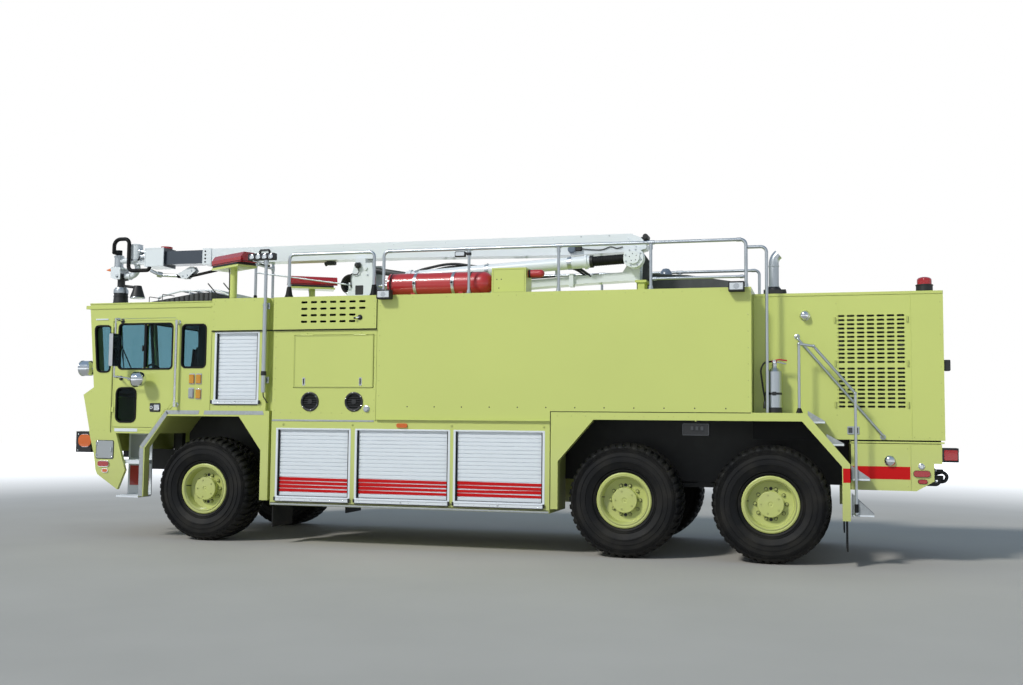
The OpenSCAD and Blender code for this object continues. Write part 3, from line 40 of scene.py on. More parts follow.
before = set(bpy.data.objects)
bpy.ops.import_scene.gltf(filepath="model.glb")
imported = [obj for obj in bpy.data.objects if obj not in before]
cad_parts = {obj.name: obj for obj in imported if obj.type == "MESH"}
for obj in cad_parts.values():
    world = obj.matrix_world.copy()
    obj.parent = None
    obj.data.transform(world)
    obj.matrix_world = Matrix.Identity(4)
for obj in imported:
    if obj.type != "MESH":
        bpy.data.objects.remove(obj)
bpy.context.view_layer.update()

SIDE = 1.525  # half the body's width
LEDGE = 1.543  # the proud header above the front compartments
HOUSING = 1.17  # half the engine housing's width
ROOF = 3.34
SEAT = 1.974  # the seats' plinths
UP, DOWN, AHEAD, BACK, LEFT = (0, 0, 1), (0, 0, -1), (1, 0, 0), (-1, 0, 0), (0, 1, 0)
WHEELS = {"front": 3.535, "mid": -2.34, "rear": -4.118}
AXLE_Z = 0.712
WHEEL_Y = 1.2
KNUCKLE = (-2.262, 3.925)  # the boom knuckle's pin, x and z
SLATS = (0.652, 0.908 / 18)  # the lower curtains' first slat and their pitch
MAST = (2.583, 1.587)  # the light mast's middle, x and y
SIDES = (("left", 1), ("right", -1))
SHUTTERS = [(1.315, 2.402), (-0.077, 1.248), (-1.34, -0.13)]


def linear(code):
    """Linear RGBA of an sRGB hex colour."""
    parts = [int(code[i : i + 2], 16) / 255 for i in (1, 3, 5)]
    return [p / 12.92 if p <= 0.04045 else ((p + 0.055) / 1.055) ** 2.4 for p in parts] + [1.0]


def colour(name, description, code):
    return bpy.props.FloatVectorProperty(
        name=name, description=description, subtype="COLOR", size=4, min=0, max=1, default=linear(code)
    )


def length(name, description, value, most=0.04):
    return bpy.props.FloatProperty(
        name=name, description=description, default=value, min=0.01, max=most, unit="LENGTH"
    )


class TruckColours(bpy.types.PropertyGroup):
    """Colours of the truck's materials"""

    lime: colour("Lime", "Enamel of the body, the cab and the wheels", "#C3CD70")
    red: colour("Red", "Enamel of the agent cylinders", "#B3282B")
    stripe: colour("Stripe", "Red film on the shutters and the skirt", "#C00508")
    white: colour("White", "Enamel of the boom", "#DFE5E8")
    black: colour("Black", "Powder coat of the chassis and the brackets", "#1C1D1F")
    slate: colour("Slate", "Hard coat of the sliding boom section", "#39424D")
    aluminium: colour("Aluminium", "Anodised slats and treads", "#DDE3E8")
    rubber: colour("Rubber", "Tyres, hoses and seals", "#0D0E10")
    glass: colour("Glass", "Tint of the cab's panes", "#9BBCC5")
    dust: colour("Dust", "Dry dust low on the truck", "#8E8672")


class TruckSizes(bpy.types.PropertyGroup):
    """Sizes of the pieces built on the CAD frame"""

    lugs: bpy.props.IntProperty(
        name="Lugs", description="Shoulder lugs round each side of a tyre", default=46, min=24, max=60
    )
    groove: length("Groove", "Depth of the tread's grooves", 0.024)
    bolt: length("Bolt", "Width of the panel bolts' heads", 0.022)
    seal: length("Seal", "Width of the rubber round each window", 0.026, 0.05)


# Materials


def set_inputs(tree, node, inputs):
    for key, value in inputs.items():
        if isinstance(value, bpy.types.NodeSocket):
            tree.links.new(value, node.inputs[key])
        else:
            node.inputs[key].default_value = value


def add_node(tree, kind, inputs=None, **settings):
    """Adds a node; an input given as a socket is linked, any other is set."""
    node = tree.nodes.new("ShaderNode" + kind)
    for key, value in settings.items():
        setattr(node, key, value)
    set_inputs(tree, node, inputs or {})
    return node


def mix(tree, factor, a, b):
    return add_node(tree, "Mix", {0: factor, 6: a, 7: b}, data_type="RGBA").outputs[2]


def place_of(tree):
    """Where a point is on the truck at rest, in metres."""
    return add_node(tree, "TexCoord").outputs["Object"]


def noise(tree, scale, detail=2.0, vector=None):
    return add_node(
        tree, "TexNoise", {"Vector": vector or place_of(tree), "Scale": scale, "Detail": detail}
    ).outputs["Fac"]


def bump(tree, height, strength, distance):
    return add_node(
        tree, "Bump", {"Height": height, "Strength": strength, "Distance": distance}).outputs["Normal"]


def between(tree, value, low, high, first=0.0, last=1.0):
    """Value carried from low..high to first..last, held at both ends."""
    return add_node(
        tree, "MapRange", {"Value": value, "From Min": low, "From Max": high, "To Min": first, "To Max": last}
    ).outputs["Result"]


def material(name, **inputs):
    """A material whose shader inputs are made by build(tree), or are plain values."""
    made = bpy.data.materials.new(name)
    made.use_nodes = True
    tree = made.node_tree
    build = inputs.pop("build", None)
    values = {key.replace("_", " "): value for key, value in inputs.items()}
    if build:
        values.update(build(tree))
    set_inputs(tree, tree.nodes["Principled BSDF"], values)
    return made


def shade(value, factor):
    return [c * factor for c in value[:3]] + [1.0]


def sprayed_enamel(name, base, dust, dusty):
    """Sprayed enamel under a clear gloss: colour that drifts a little over the panels, and dust low down."""

    def build(tree):
        place = place_of(tree)
        height = add_node(tree, "SeparateXYZ", {"Vector": place}).outputs["Z"]
        drift = mix(tree, noise(tree, 0.8, 3, place), shade(base, 0.95), shade(base, 1.04))
        low = add_node(
            tree, "Math", {0: between(tree, height, 0.5, 1.7, dusty, 0.0), 1: noise(tree, 2.6, 6, place)},
            operation="MULTIPLY",
        ).outputs[0]
        # Orange peel is some 3 mm wide: drawn 12 mm wide, so that it breaks the reflections at this distance
        return {
            "Base Color": mix(tree, low, drift, dust),
            "Normal": bump(tree, noise(tree, 80, 1, place), 0.05, 0.002),
        }

    return material(name, build=build, Roughness=0.36, Coat_Weight=0.45, Coat_Roughness=0.09)


def adhesive_film(name, base):
    """Coloured film stuck on flat sheet: even and saturated, with a dull shine and long ripples."""

    def build(tree):
        return {"Normal": bump(tree, noise(tree, 12, 2), 0.04, 0.002)}

    return material(name, build=build, Base_Color=base, Roughness=0.45, Specular_IOR_Level=0.25)


def powder_coat(name, base):
    """Baked powder: fine grained, half matt, greyer with dust where it is worn."""

    def build(tree):
        worn = between(tree, noise(tree, 5, 6), 0.45, 0.8)
        return {
            "Base Color": mix(tree, worn, base, shade(base, 1.7)),
            "Normal": bump(tree, noise(tree, 160, 2), 0.12, 0.002),
        }

    return material(name, build=build, Roughness=0.52)


def moulded_rubber(name, base, dust):
    """Moulded rubber: dull and almost black, with pale dust in patches."""

    def build(tree):
        dusty = between(tree, noise(tree, 3.2, 8), 0.42, 0.75, 0.0, 0.07)
        return {
            "Base Color": mix(tree, dusty, base, dust),
            "Normal": bump(tree, noise(tree, 90, 3), 0.15, 0.003),
        }

    return material(name, build=build, Roughness=0.62, Specular_IOR_Level=0.25)


def anodised_aluminium(name, base):
    """Extruded slats, anodised: pale and silky, with the faint long lines that the die leaves."""

    def build(tree):
        stretched = add_node(
            tree, "Mapping", {"Vector": place_of(tree), "Scale": (1.2, 40.0, 260.0)}).outputs["Vector"]
        lines = noise(tree, 1.0, 3, stretched)
        return {
            "Base Color": mix(tree, lines, shade(base, 0.93), shade(base, 1.05)),
            "Normal": bump(tree, lines, 0.05, 0.002),
        }

    return material(name, build=build, Metallic=0.12, Roughness=0.45)


def polished_tube(name, base, roughness):
    """Polished or chromed metal: bright, with long soft smears in its shine."""

    def build(tree):
        return {"Roughness": between(tree, noise(tree, 7, 5), 0.3, 0.8, roughness, roughness + 0.12)}

    return material(name, build=build, Base_Color=base, Metallic=1.0)


def galvanised_sheet(name, base):
    """Hot-dipped sheet: mid grey, with spangles of lighter and darker zinc."""

    def build(tree):
        # Spangles are 8 mm wide: drawn 25 mm wide, so that they show at this distance
        cells = add_node(tree, "TexVoronoi", {"Vector": place_of(tree), "Scale": 40.0}).outputs["Color"]
        return {"Base Color": mix(tree, cells, shade(base, 0.9), shade(base, 1.1))}

    return material(name, build=build, Metallic=0.6, Roughness=0.5)


def tempered_glass(name, base):
    """Clear tempered pane with a light tint."""
    return material(name, Base_Color=base, Transmission_Weight=1.0, Roughness=0.0, IOR=1.2)


def moulded_lens(name, base, glow):
    """Moulded polycarbonate: coloured through, ribbed inside, bright where light catches the ribs."""

    def build(tree):
        inputs = {"Vector": place_of(tree), "Scale": 22.0}
        ribs = add_node(tree, "TexWave", inputs, bands_direction="DIAGONAL")
        return {"Normal": bump(tree, ribs.outputs["Fac"], 0.35, 0.004)}

    return material(
        name, build=build, Base_Color=base, Roughness=0.12, Transmission_Weight=0.25, Coat_Weight=0.8,
        Emission_Color=base, Emission_Strength=glow,
    )


def woven_vinyl(name, base):
    """Coated cloth of the seats: matt, with a fine even grain."""

    def build(tree):
        # The grain is 1 mm wide: drawn 5 mm wide, so that it shows through the panes
        return {"Normal": bump(tree, noise(tree, 200, 2), 0.3, 0.002)}

    return material(name, build=build, Base_Color=base, Roughness=0.7)


def make_materials(colours):
    lime, red, white, black = list(colours.lime), list(colours.red), list(colours.white), list(colours.black)
    dust = list(colours.dust)
    sprayed_enamel("lime", lime, dust, 0.5)
    # Lime darkened to 0.8, a shaded copy of the body's enamel: painted shade on bolts, nuts, rims and seams
    sprayed_enamel("lime painted shade", shade(lime, 0.8), dust, 0.5)
    sprayed_enamel("red enamel", red, dust, 0.2)
    adhesive_film("stripe", list(colours.stripe))
    sprayed_enamel("white enamel", white, dust, 0.0)
    sprayed_enamel("orange enamel", linear("#E07428"), dust, 0.0)
    sprayed_enamel("grey enamel", linear("#9AA0A3"), dust, 0.2)
    sprayed_enamel("blue grey enamel", linear("#5F6C7C"), dust, 0.0)
    sprayed_enamel("slate", list(colours.slate), dust, 0.0)
    powder_coat("black", black)
    powder_coat("dark grey", linear("#3A3C3F"))
    moulded_rubber("black rubber", list(colours.rubber), dust)
    moulded_rubber("seal", shade(list(colours.rubber), 0.6), shade(list(colours.rubber), 0.9))
    anodised_aluminium("anodised", list(colours.aluminium))
    polished_tube("steel tube", linear("#BFC5C9"), 0.3)
    polished_tube("chrome", linear("#E4E7EA"), 0.08)
    polished_tube("mirror", linear("#D8DEE2"), 0.02)
    galvanised_sheet("galvanised", linear("#A9AEB1"))
    tempered_glass("glass", list(colours.glass))
    moulded_lens("red lens", linear("#B01018"), 0.05)
    moulded_lens("amber lens", linear("#E06A14"), 0.05)
    moulded_lens("yellow lens", linear("#DC9A20"), 0.05)
    moulded_lens("clear lens", linear("#E4EAEE"), 0.05)
    woven_vinyl("seat cover", linear("#2B2D31"))


# Shapes


def look(point, way, spin=0.0):
    """Place whose local Z points along way."""
    turn = Vector(way).to_track_quat("Z", "Y").to_matrix().to_4x4()
    return Matrix.Translation(point) @ turn @ Matrix.Rotation(spin, 4, "Z")


def on_side(y, way=1):
    """Place for outlines drawn in x and z on a wall at y; their height points outwards."""
    return Matrix(((1, 0, 0, 0), (0, 0, way, y), (0, 1, 0, 0), (0, 0, 0, 1)))


def rounded(x0, x1, z0, z1, r, steps=5):
    """Outline of a rectangle with round corners."""
    points = []
    for cx, cz, start in (
        (x1 - r, z0 + r, -90), (x1 - r, z1 - r, 0), (x0 + r, z1 - r, 90), (x0 + r, z0 + r, 180)
    ):
        for i in range(steps + 1):
            a = radians(start + 90 * i / steps)
            points.append((cx + r * cos(a), cz + r * sin(a)))
    return points


def rounded_at(x, z, half_x, half_z, r):
    """Outline of a rectangle with round corners, by its middle and its half sizes."""
    return rounded(x - half_x, x + half_x, z - half_z, z + half_z, r)


def near(middle, reach):
    return middle - reach, middle + reach


def span(s, a, b):
    """Range from a to b on the side s, in rising order."""
    return sorted((s * a, s * b))


def circle(axis, centre, r, angles):
    """Points at these angles round the centre, in the plane across the axis."""
    x, y, z = centre
    turns = [(r * cos(a), r * sin(a)) for a in angles]
    if axis == "x":
        return [(x, y + c, z + d) for c, d in turns]
    if axis == "y":
        return [(x + c, y, z + d) for c, d in turns]
    return [(x + c, y + d, z) for c, d in turns]


def inset(outline, d):
    """The outline moved inwards by d, with mitred corners."""
    area = sum(a[0] * b[1] - b[0] * a[1] for a, b in zip(outline, outline[1:] + outline[:1]))
    way = 1 if area > 0 else -1
    result = []
    for i, p in enumerate(outline):
        before, after = Vector(outline[i - 1]), Vector(outline[(i + 1) % len(outline)])
        here = Vector(p)
        a, b = (here - before).normalized(), (after - here).normalized()
        na, nb = Vector((-a.y, a.x)) * way, Vector((-b.y, b.x)) * way
        m = (na + nb).normalized()
        result.append(tuple(here + m * d / max(0.35, m.dot(na))))
    return result


def smooth_path(points, r, steps=6):
    """The points joined by straight lines, with each corner rounded."""
    points = [Vector(p) for p in points]
    path = [points[0]]
    for before, here, after in zip(points, points[1:], points[2:]):
        a, b = before - here, after - here
        cut = min(r, a.length * 0.48, b.length * 0.48)
        start, end = here + a.normalized() * cut, here + b.normalized() * cut
        for i in range(steps + 1):
            t = i / steps
            path.append(start * (1 - t) ** 2 + here * 2 * t * (1 - t) + end * t**2)
    return path + [points[-1]]


def soft(outline, r):
    """Closed outline with each corner rounded."""
    middle = (Vector(outline[-1]) + Vector(outline[0])) / 2
    return [tuple(p) for p in smooth_path([middle, *outline, middle], r, 5)][:-1]


def resample(path, step):
    """Points at even steps along the path."""
    lengths = [(b - a).length for a, b in zip(path, path[1:])]
    n = max(2, round(sum(lengths) / step))
    result, i, done = [], 0, 0.0
    for k in range(n + 1):
        at = sum(lengths) * k / n
        while i < len(lengths) - 1 and done + lengths[i] < at:
            done += lengths[i]
            i += 1
        result.append(path[i].lerp(path[i + 1], min(1.0, (at - done) / max(lengths[i], 1e-9))))
    return result


class Shape:
    """Gathers the parts of one piece in one mesh, each in the material named last."""

    def __init__(self, material):
        self.points, self.faces, self.marks, self.names = [], [], [], []
        self.of(material)

    def of(self, material):
        if material not in self.names:
            self.names.append(material)
        self.mark = self.names.index(material)
        return self

    def add(self, points, faces, place=None):
        start = len(self.points)
        self.points += [(place @ Vector(p)) if place else Vector(p) for p in points]
        self.faces += [[i + start for i in face] for face in faces]
        self.marks += [self.mark] * len(faces)
        return self

    def rings(self, rings, place=None, closed=False):
        """Joins rings of as many points each; the ends are capped unless the row is closed."""
        n, count = len(rings[0]), len(rings)
        faces = []
        for i in range(count if closed else count - 1):
            a, b = i * n, (i + 1) % count * n
            faces += [(a + k, a + (k + 1) % n, b + (k + 1) % n, b + k) for k in range(n)]
        if not closed:
            faces += [tuple(range(n)), tuple(range((count - 1) * n, count * n))]
        return self.add([p for ring in rings for p in ring], faces, place)

    def slab(self, outline, low, high, place=None, cut=0.0):
        """Outline drawn in x and y, carried from low to high, with the outer edge cut."""
        rows = [(outline, low), (outline, high - cut if cut else high)]
        if cut:
            rows.append((inset(outline, cut), high))
        return self.rings([[(x, y, h) for x, y in row] for row, h in rows], place)

    def band(self, outline, width, low, high, place=None, cut=0.0):
        """Frame of that width inside the outline."""
        rows = [(outline, low), (inset(outline, cut) if cut else outline, high)]
        rows += [(inset(outline, width - cut), high), (inset(outline, width), low)]
        return self.rings([[(x, y, h) for x, y in row] for row, h in rows], place, closed=True)

    def box(self, x, y, z, cut=0.0, place=None):
        """Box between two x, two y and two z, with its corners and edges cut."""
        cut = min(cut, (x[1] - x[0]) * 0.4, (y[1] - y[0]) * 0.4, (z[1] - z[0]) * 0.4)
        outline = [(x[0], y[0]), (x[1], y[0]), (x[1], y[1]), (x[0], y[1])]
        if cut:
            outline = [
                (x[0] + cut, y[0]), (x[1] - cut, y[0]), (x[1], y[0] + cut), (x[1], y[1] - cut),
                (x[1] - cut, y[1]), (x[0] + cut, y[1]), (x[0], y[1] - cut), (x[0], y[0] + cut),
            ]
            middle = Vector(((x[0] + x[1]) / 2, (y[0] + y[1]) / 2))
            sx, sy = 1 - 2 * cut / (x[1] - x[0]), 1 - 2 * cut / (y[1] - y[0])
            small = [(middle.x + (a - middle.x) * sx, middle.y + (b - middle.y) * sy) for a, b in outline]
            rows = [(small, z[0]), (outline, z[0] + cut), (outline, z[1] - cut), (small, z[1])]
            return self.rings([[(a, b, h) for a, b in row] for row, h in rows], place)
        return self.slab(outline, z[0], z[1], place)

    def turned(self, profile, place=None, steps=24):
        """Profile of (radius, height) pairs turned about the local Z.

        A profile that ends where it starts is a ring.
        """
        ring_like = profile[0] == profile[-1]
        rows = profile[:-1] if ring_like else profile
        turns = circle("z", (0, 0, 0), 1, [2 * pi * i / steps for i in range(steps)])
        rings = [[(max(r, 1e-5) * c, max(r, 1e-5) * d, h) for c, d, _ in turns] for r, h in rows]
        return self.rings(rings, place, closed=ring_like)

    def lathe(self, profile, point, way, steps):
        """The profile turned about a way through a point."""
        return self.turned(profile, look(point, way), steps)

    def collar(self, inner, outer, half, point, way, steps, slope=0.002):
        """Ring round a tube, its flanks leaning in by the slope."""
        rim = half - slope
        profile = [(inner, -half), (outer, -rim), (outer, rim), (inner, half), (inner, -half)]
        return self.lathe(profile, point, way, steps)

    def tube(self, path, radius, sides=12, closed=False, ribs=None):
        """Round tube along a path; ribs are (pitch, depth)."""
        path = [Vector(p) for p in path]
        if ribs:
            path = resample(path, ribs[0] / 2)
        n = len(path)
        ways = []
        for i in range(n):
            a = path[i - 1] if closed or i else path[0]
            b = path[(i + 1) % n] if closed or i < n - 1 else path[-1]
            ways.append((b - a).normalized())
        side = ways[0].orthogonal().normalized()
        rings = []
        for i, (p, way) in enumerate(zip(path, ways)):
            side = (side - way * side.dot(way)).normalized()
            other = way.cross(side)
            r = radius - (ribs[1] if ribs and i % 2 else 0)
            rings.append(
                [p + (side * cos(t) + other * sin(t)) * r for t in (2 * pi * k / sides for k in range(sides))]
            )
        return self.rings(rings, closed=closed)

    def hose(self, points, bend, steps, radius, sides):
        """Round tube along straight lines with rounded corners."""
        return self.tube(smooth_path(points, bend, steps), radius, sides)

    def bolts(self, spots, way, size=0.022, steps=6):
        """Hexagon heads on washers, or domed rivets with eight sides."""
        for spot in spots:
            place = look(spot, way, spot[0] * 7 + spot[2] * 5)
            if steps == 6:
                self.turned([(size * 0.72, 0), (size * 0.72, size * 0.1), (0, size * 0.1)], place, 12)
                self.turned(
                    [
                        (size * 0.55, size * 0.1), (size * 0.55, size * 0.42), (size * 0.42, size * 0.5),
                        (0, size * 0.5),
                    ], place, 6)
            else:
                self.turned(
                    [
                        (size * 0.5, 0), (size * 0.45, size * 0.16), (size * 0.2, size * 0.28),
                        (0, size * 0.3),
                    ], place, steps)
        return self

    def mesh(self, name):
        made = bpy.data.meshes.new(name)
        made.from_pydata(self.points, [], self.faces)
        for m in self.names:
            made.materials.append(bpy.data.materials[m])
        made.polygons.foreach_set("material_index", self.marks)
        work = bmesh.new()
        work.from_mesh(made)
        bmesh.ops.remove_doubles(work, verts=work.verts, dist=2e-5)
        bmesh.ops.dissolve_degenerate(work, edges=work.edges, dist=1e-6)
        bmesh.ops.recalc_face_normals(work, faces=work.faces)
        work.to_mesh(made)
        work.free()
        made.shade_smooth()
        made.set_sharp_from_angle(angle=radians(33))
        return made

    def piece(self, name, slot="chassis_black", body="truck"):
        return add_piece(name, self.mesh(name), body)


def add_piece(name, mesh, body, place=None):
    made = bpy.data.objects.new(name, mesh)
    bpy.context.scene.collection.objects.link(made)
    if place:
        made.matrix_world = place
    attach(made, body)
    return made


def row(first, last, n):
    """n numbers at even steps from first to last."""
    return [first + (last - first) * i / (n - 1) for i in range(n)]


def paint(nodes, *rules):
    """Paints CAD nodes by rules of a material and a test of a face's middle; the last that holds wins."""
    for name in nodes.split():
        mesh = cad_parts[name].data
        mesh.materials.clear()
        for m, _ in rules:
            mesh.materials.append(bpy.data.materials[m])
        for face in mesh.polygons:
            x, y, z = face.center
            face.material_index = max(i for i, (_, test) in enumerate(rules) if test is None or test(x, y, z))


# Pieces


def on_striped_slat(x, y, z):
    """Whether a face's middle is on a slat of the red stripe, and not in a groove between two."""
    low, pitch = SLATS
    return 1.489 < abs(y) < 1.4975 and 0.709 < z < 0.905 and (z - low) / pitch % 1 > 0.1


class TRUCK_OT_paint(bpy.types.Operator):
    """Materials, and the paint of every CAD node"""

    bl_idname = "truck.paint"
    bl_label = "Paint"

    def execute(self, context):
        make_materials(context.scene.truck_colours)
        paint(
            "front_skirt cab_shell cab_roof front_fenders front_block tank_body lower_lockers engine_housing"
            " rear_fenders rear_skirt flap_left flap_right rim_front_left rim_front_right rim_mid_left"
            " rim_mid_right rim_rear_left rim_rear_right",
            ("lime", None),
        )
        # Faces set back behind the vent section's face are black: painted shade in its slots
        paint(
            "vent_section", ("lime", None),
            ("seal", lambda x, y, z: 1.45 < abs(y) < LEDGE - 0.0005 and 2.98 < z < 3.33))
        paint("chassis_frame body_mounts axles knuckle_left knuckle_right engine_block", ("black", None))
        paint("front_bumper", ("black", None), ("anodised", lambda x, y, z: z > 1.4699))
        paint("mud_flaps pedestal_hoses head_hoses", ("black rubber", None))
        paint("cab_glass door_glass_left door_glass_right", ("glass", None))
        paint("cab_interior", ("dark grey", None), ("seat cover", lambda x, y, z: x < 4.55 and z > 1.97))
        paint("steps", ("anodised", None), ("galvanised", lambda x, y, z: x < 0))
        paint("roller_shutters", ("anodised", None), ("stripe", on_striped_slat))
        paint("handrails", ("steel tube", None), ("chrome", lambda x, y, z: 3.9 < x < 4.0))
        paint(
            "light_bars",
            ("lime", None),
            ("red lens", lambda x, y, z: z > 3.8499),
            ("black", lambda x, y, z: 3.8151 < z < 3.8499),
        )
        paint("roof_units", ("dark grey", None), ("black", lambda x, y, z: x < 0 and abs(y + 0.5) > 0.01))
        paint("agent_cylinders", ("red enamel", None), ("steel tube", lambda x, y, z: x < -4.0))
        paint("exhaust_stack", ("steel tube", None), ("black", lambda x, y, z: z < 3.349))
        paint(
            "lamps",
            ("clear lens", None),
            ("black", lambda x, y, z: 3.25 < z < 3.4 and abs(y) > 1.4),
            ("red lens", lambda x, y, z: x < -5.8 and z > 3.36),
            ("black", lambda x, y, z: x < -5.8 and 3.2 < z < 3.378),
            ("chrome", lambda x, y, z: x > 5.3 and z > 2 and x < 5.535),
            ("black", lambda x, y, z: x < -6.0 and z < 3),
        )
        paint(
            "marker_lamps",
            ("red lens", None),
            ("amber lens", lambda x, y, z: 5.01 < x < 5.11 and z < 0.97 or 0 < x < 1 or x > 5.3),
        )
        paint("boom_pedestal", ("white enamel", None), ("lime", lambda x, y, z: x < -2.2))
        paint(
            "lower_boom", ("white enamel", None),
            ("black rubber", lambda x, y, z: -2.2 < x < -1.651 and abs(y) > 0.14))
        paint("lift_barrel", ("dark grey", None))
        paint("lift_rod", ("chrome", None))
        paint("boom_knuckle", ("white enamel", None), ("dark grey", lambda x, y, z: y < -0.1425))
        paint("upper_boom", ("white enamel", None))
        paint(
            "boom_inner",
            ("slate", None),
            ("white enamel", lambda x, y, z: x > 5.1061),
            ("steel tube", lambda x, y, z: x > 5.93 and abs(y) < 0.08 and z > 4.047),
            ("orange enamel", lambda x, y, z: x > 6.124),
            ("red lens", lambda x, y, z: x < 5.26 and z > 4.3251),
        )
        paint("nozzle", ("black", None), ("steel tube", lambda x, y, z: z < 3.735 and z > 3.645 and x > 5.8))
        paint("light_mast", ("steel tube", None), ("black", lambda x, y, z: z > 3.849))
        for node in ("door_left", "door_right"):
            paint(node, ("lime", None), ("chrome", lambda x, y, z: abs(y) > 1.58))
        return {"FINISHED"}


# The CAD tyre's side from the bead to the tread, as (radius, half width)
TYRE = [(0.3, 0.212), (0.349, 0.212), (0.355, 0.242), (0.43, 0.286), (0.5, 0.3), (0.626, 0.292),
        (0.68, 0.264), (0.707, 0.208), (0.712, 0.15)]


def tyre_side(r):
    """Half width of the CAD tyre at a radius."""
    for (r0, w0), (r1, w1) in zip(TYRE, TYRE[1:]):
        if r <= r1:
            return w0 + (w1 - w0) * (r - r0) / (r1 - r0)
    return TYRE[-1][1]


def tyre_shape(sizes):
    """Tyre round the local Y axis: rings on the side walls, lugs over the shoulders, blocks between them."""
    made = Shape("black rubber")
    turn = Matrix.Rotation(radians(-90), 4, "X")
    top = TYRE[-1][0] - 0.0005
    low = top - sizes.groove
    half = [(0.3, 0.211), (0.349, 0.211), (0.355, 0.238)]
    # Rings of the side wall as (radius, width), each a low ridge
    for r, wide in (
        (0.378, 0.008), (0.404, 0.004), (0.486, 0.01), (0.548, 0.004), (0.604, 0.004), (0.616, 0.004),
        (0.628, 0.004), (0.64, 0.004), (0.651, 0.005)
    ):
        side = tyre_side(r) - 0.0085
        half += [
            (r - wide / 2 - 0.002, side), (r - wide / 2, side + 0.0075), (r + wide / 2, side + 0.0075),
            (r + wide / 2 + 0.002, side)]
    half += [(0.662, 0.262), (0.676, 0.244), (low - 0.004, 0.214), (low, 0.15), (low, 0.0)]
    profile = half + [(r, -y) for r, y in reversed(half[:-1])]
    made.turned(profile + [profile[0]], turn, 112)
    n = sizes.lugs

    def block(stations, angle, wide, slant):
        """Lug over (half width, top radius, foot radius) stations, its flanks drafted and its run slanted."""
        rings = []
        for i, (y, high, foot) in enumerate(stations):
            a = angle + slant * i / (len(stations) - 1)
            ring = []
            for r, w in ((foot, wide / 2 + 0.006), (high - 0.004, wide / 2), (high, wide / 2 - 0.005)):
                ring.append((r, a + w / r, y))
            for r, w in ((high, wide / 2 - 0.005), (high - 0.004, wide / 2), (foot, wide / 2 + 0.006)):
                ring.append((r, a - w / r, y))
            rings.append([(r * cos(t), y, r * sin(t)) for r, t, y in ring])
        made.rings(rings)

    pitch = 2 * pi / n
    for side in (1, -1):
        for i in range(n):
            angle = (i + (0.5 if side < 0 else 0)) * pitch
            shoulder = [
                (0.112, top, low - 0.01), (0.15, top, low - 0.01), (0.206, top - 0.006, low - 0.014),
                (0.25, 0.684, 0.662), (0.268, 0.668, 0.65)]
            if i % 2:
                shoulder.append((0.275, 0.656, 0.64))
            block([(side * y, high, foot) for y, high, foot in shoulder], angle, 0.056, side * pitch * 0.28)
            block(
                [(side * y, top, low - 0.01) for y in (0.006, 0.05, 0.096)],
                angle + pitch * 0.5, 0.051, side * pitch * 0.42)
    return made


class TRUCK_OT_tyres(bpy.types.Operator):
    """Six tyres with cut lugs over their shoulders and ribbed side walls"""

    bl_idname = "truck.tyres"
    bl_label = "Tyres"

    def execute(self, context):
        for axle, x in WHEELS.items():
            # Each axle's tyres stopped at another angle
            made = tyre_shape(context.scene.truck_sizes)
            turn = Matrix.Rotation(radians({"front": 0, "mid": 17, "rear": 41}[axle]), 4, "Y")
            made.points = [turn @ p for p in made.points]
            mesh = made.mesh(f"tread_{axle}")
            for side, s in SIDES:
                place = Matrix.Translation((x, s * WHEEL_Y, AXLE_Z))
                tyre = add_piece(f"tread_{axle}_{side}", mesh, f"wheel_{axle}_{side}", place)
                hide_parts(f"tyre_{axle}_{side}")
        return {"FINISHED"}


class TRUCK_OT_wheel_fittings(bpy.types.Operator):
    """Nuts, hub cap, lock ring and valve of each wheel"""

    bl_idname = "truck.wheel_fittings"
    bl_label = "Wheel fittings"

    def execute(self, context):
        # Nuts, cap bolts and lock ring in the darkened lime: painted shade
        made = Shape("lime painted shade")
        out = (0, 1, 0)
        for i in range(10):
            a = radians(36 * i)
            place = look((0.186 * cos(a), 0.108, 0.186 * sin(a)), out)
            made.of("black").turned([(0.024, 0), (0.024, 0.004), (0, 0.004)], place, 20)
            made.of("lime painted shade").turned(
                [(0.0205, 0.004), (0.0205, 0.02), (0.017, 0.024), (0, 0.024)], place, 6)
            made.turned([(0.009, 0.024), (0.009, 0.034), (0, 0.036)], place, 10)
        # Black discs for one open hole above the cap and one below it: painted shade in the holes
        for s in (1, -1):
            made.of("black").lathe([(0.021, 0), (0.021, 0.003), (0, 0.003)], (0, 0.108, s * 0.186), out, 20)
        # Hub's cap: a flat plate with five bolts and a dimple
        hub = look((0, 0.194, 0), out)
        made.of("lime").turned(
            [
                (0.12, -0.004), (0.15, -0.004), (0.157, 0.002), (0.157, 0.008), (0.15, 0.013),
                (0.034, 0.015), (0.026, 0.009), (0.012, 0.009), (0.008, 0.014), (0, 0.014),
            ], hub, 56)
        made.of("lime painted shade").bolts(
            [(0.115 * cos(radians(72 * i)), 0.2075, 0.115 * sin(radians(72 * i))) for i in range(5)],
            out, 0.018)
        # Lock ring in the flange's gutter
        gutter = look((0, 0.236, 0), out)
        made.turned([(0.303, 0), (0.311, 0.006), (0.303, 0.012), (0.295, 0.006), (0.303, 0)], gutter, 72)
        made.of("black").tube([(0.268, 0.125, 0.03), (0.272, 0.16, 0.032), (0.285, 0.205, 0.036)], 0.0065, 8)
        made.lathe([(0.009, 0), (0.009, 0.016), (0, 0.018)], (0.285, 0.205, 0.036), (0.25, 1, 0.05), 8)
        mesh = made.mesh("wheel_fittings")
        for axle, x in WHEELS.items():
            for side, s in SIDES:
                place = Matrix.Translation((x, s * WHEEL_Y, AXLE_Z))
                if s < 0:
                    place = place @ Matrix.Rotation(pi, 4, "Z")
                add_piece(f"wheel_fittings_{axle}_{side}", mesh, f"wheel_{axle}_{side}", place)
        return {"FINISHED"}


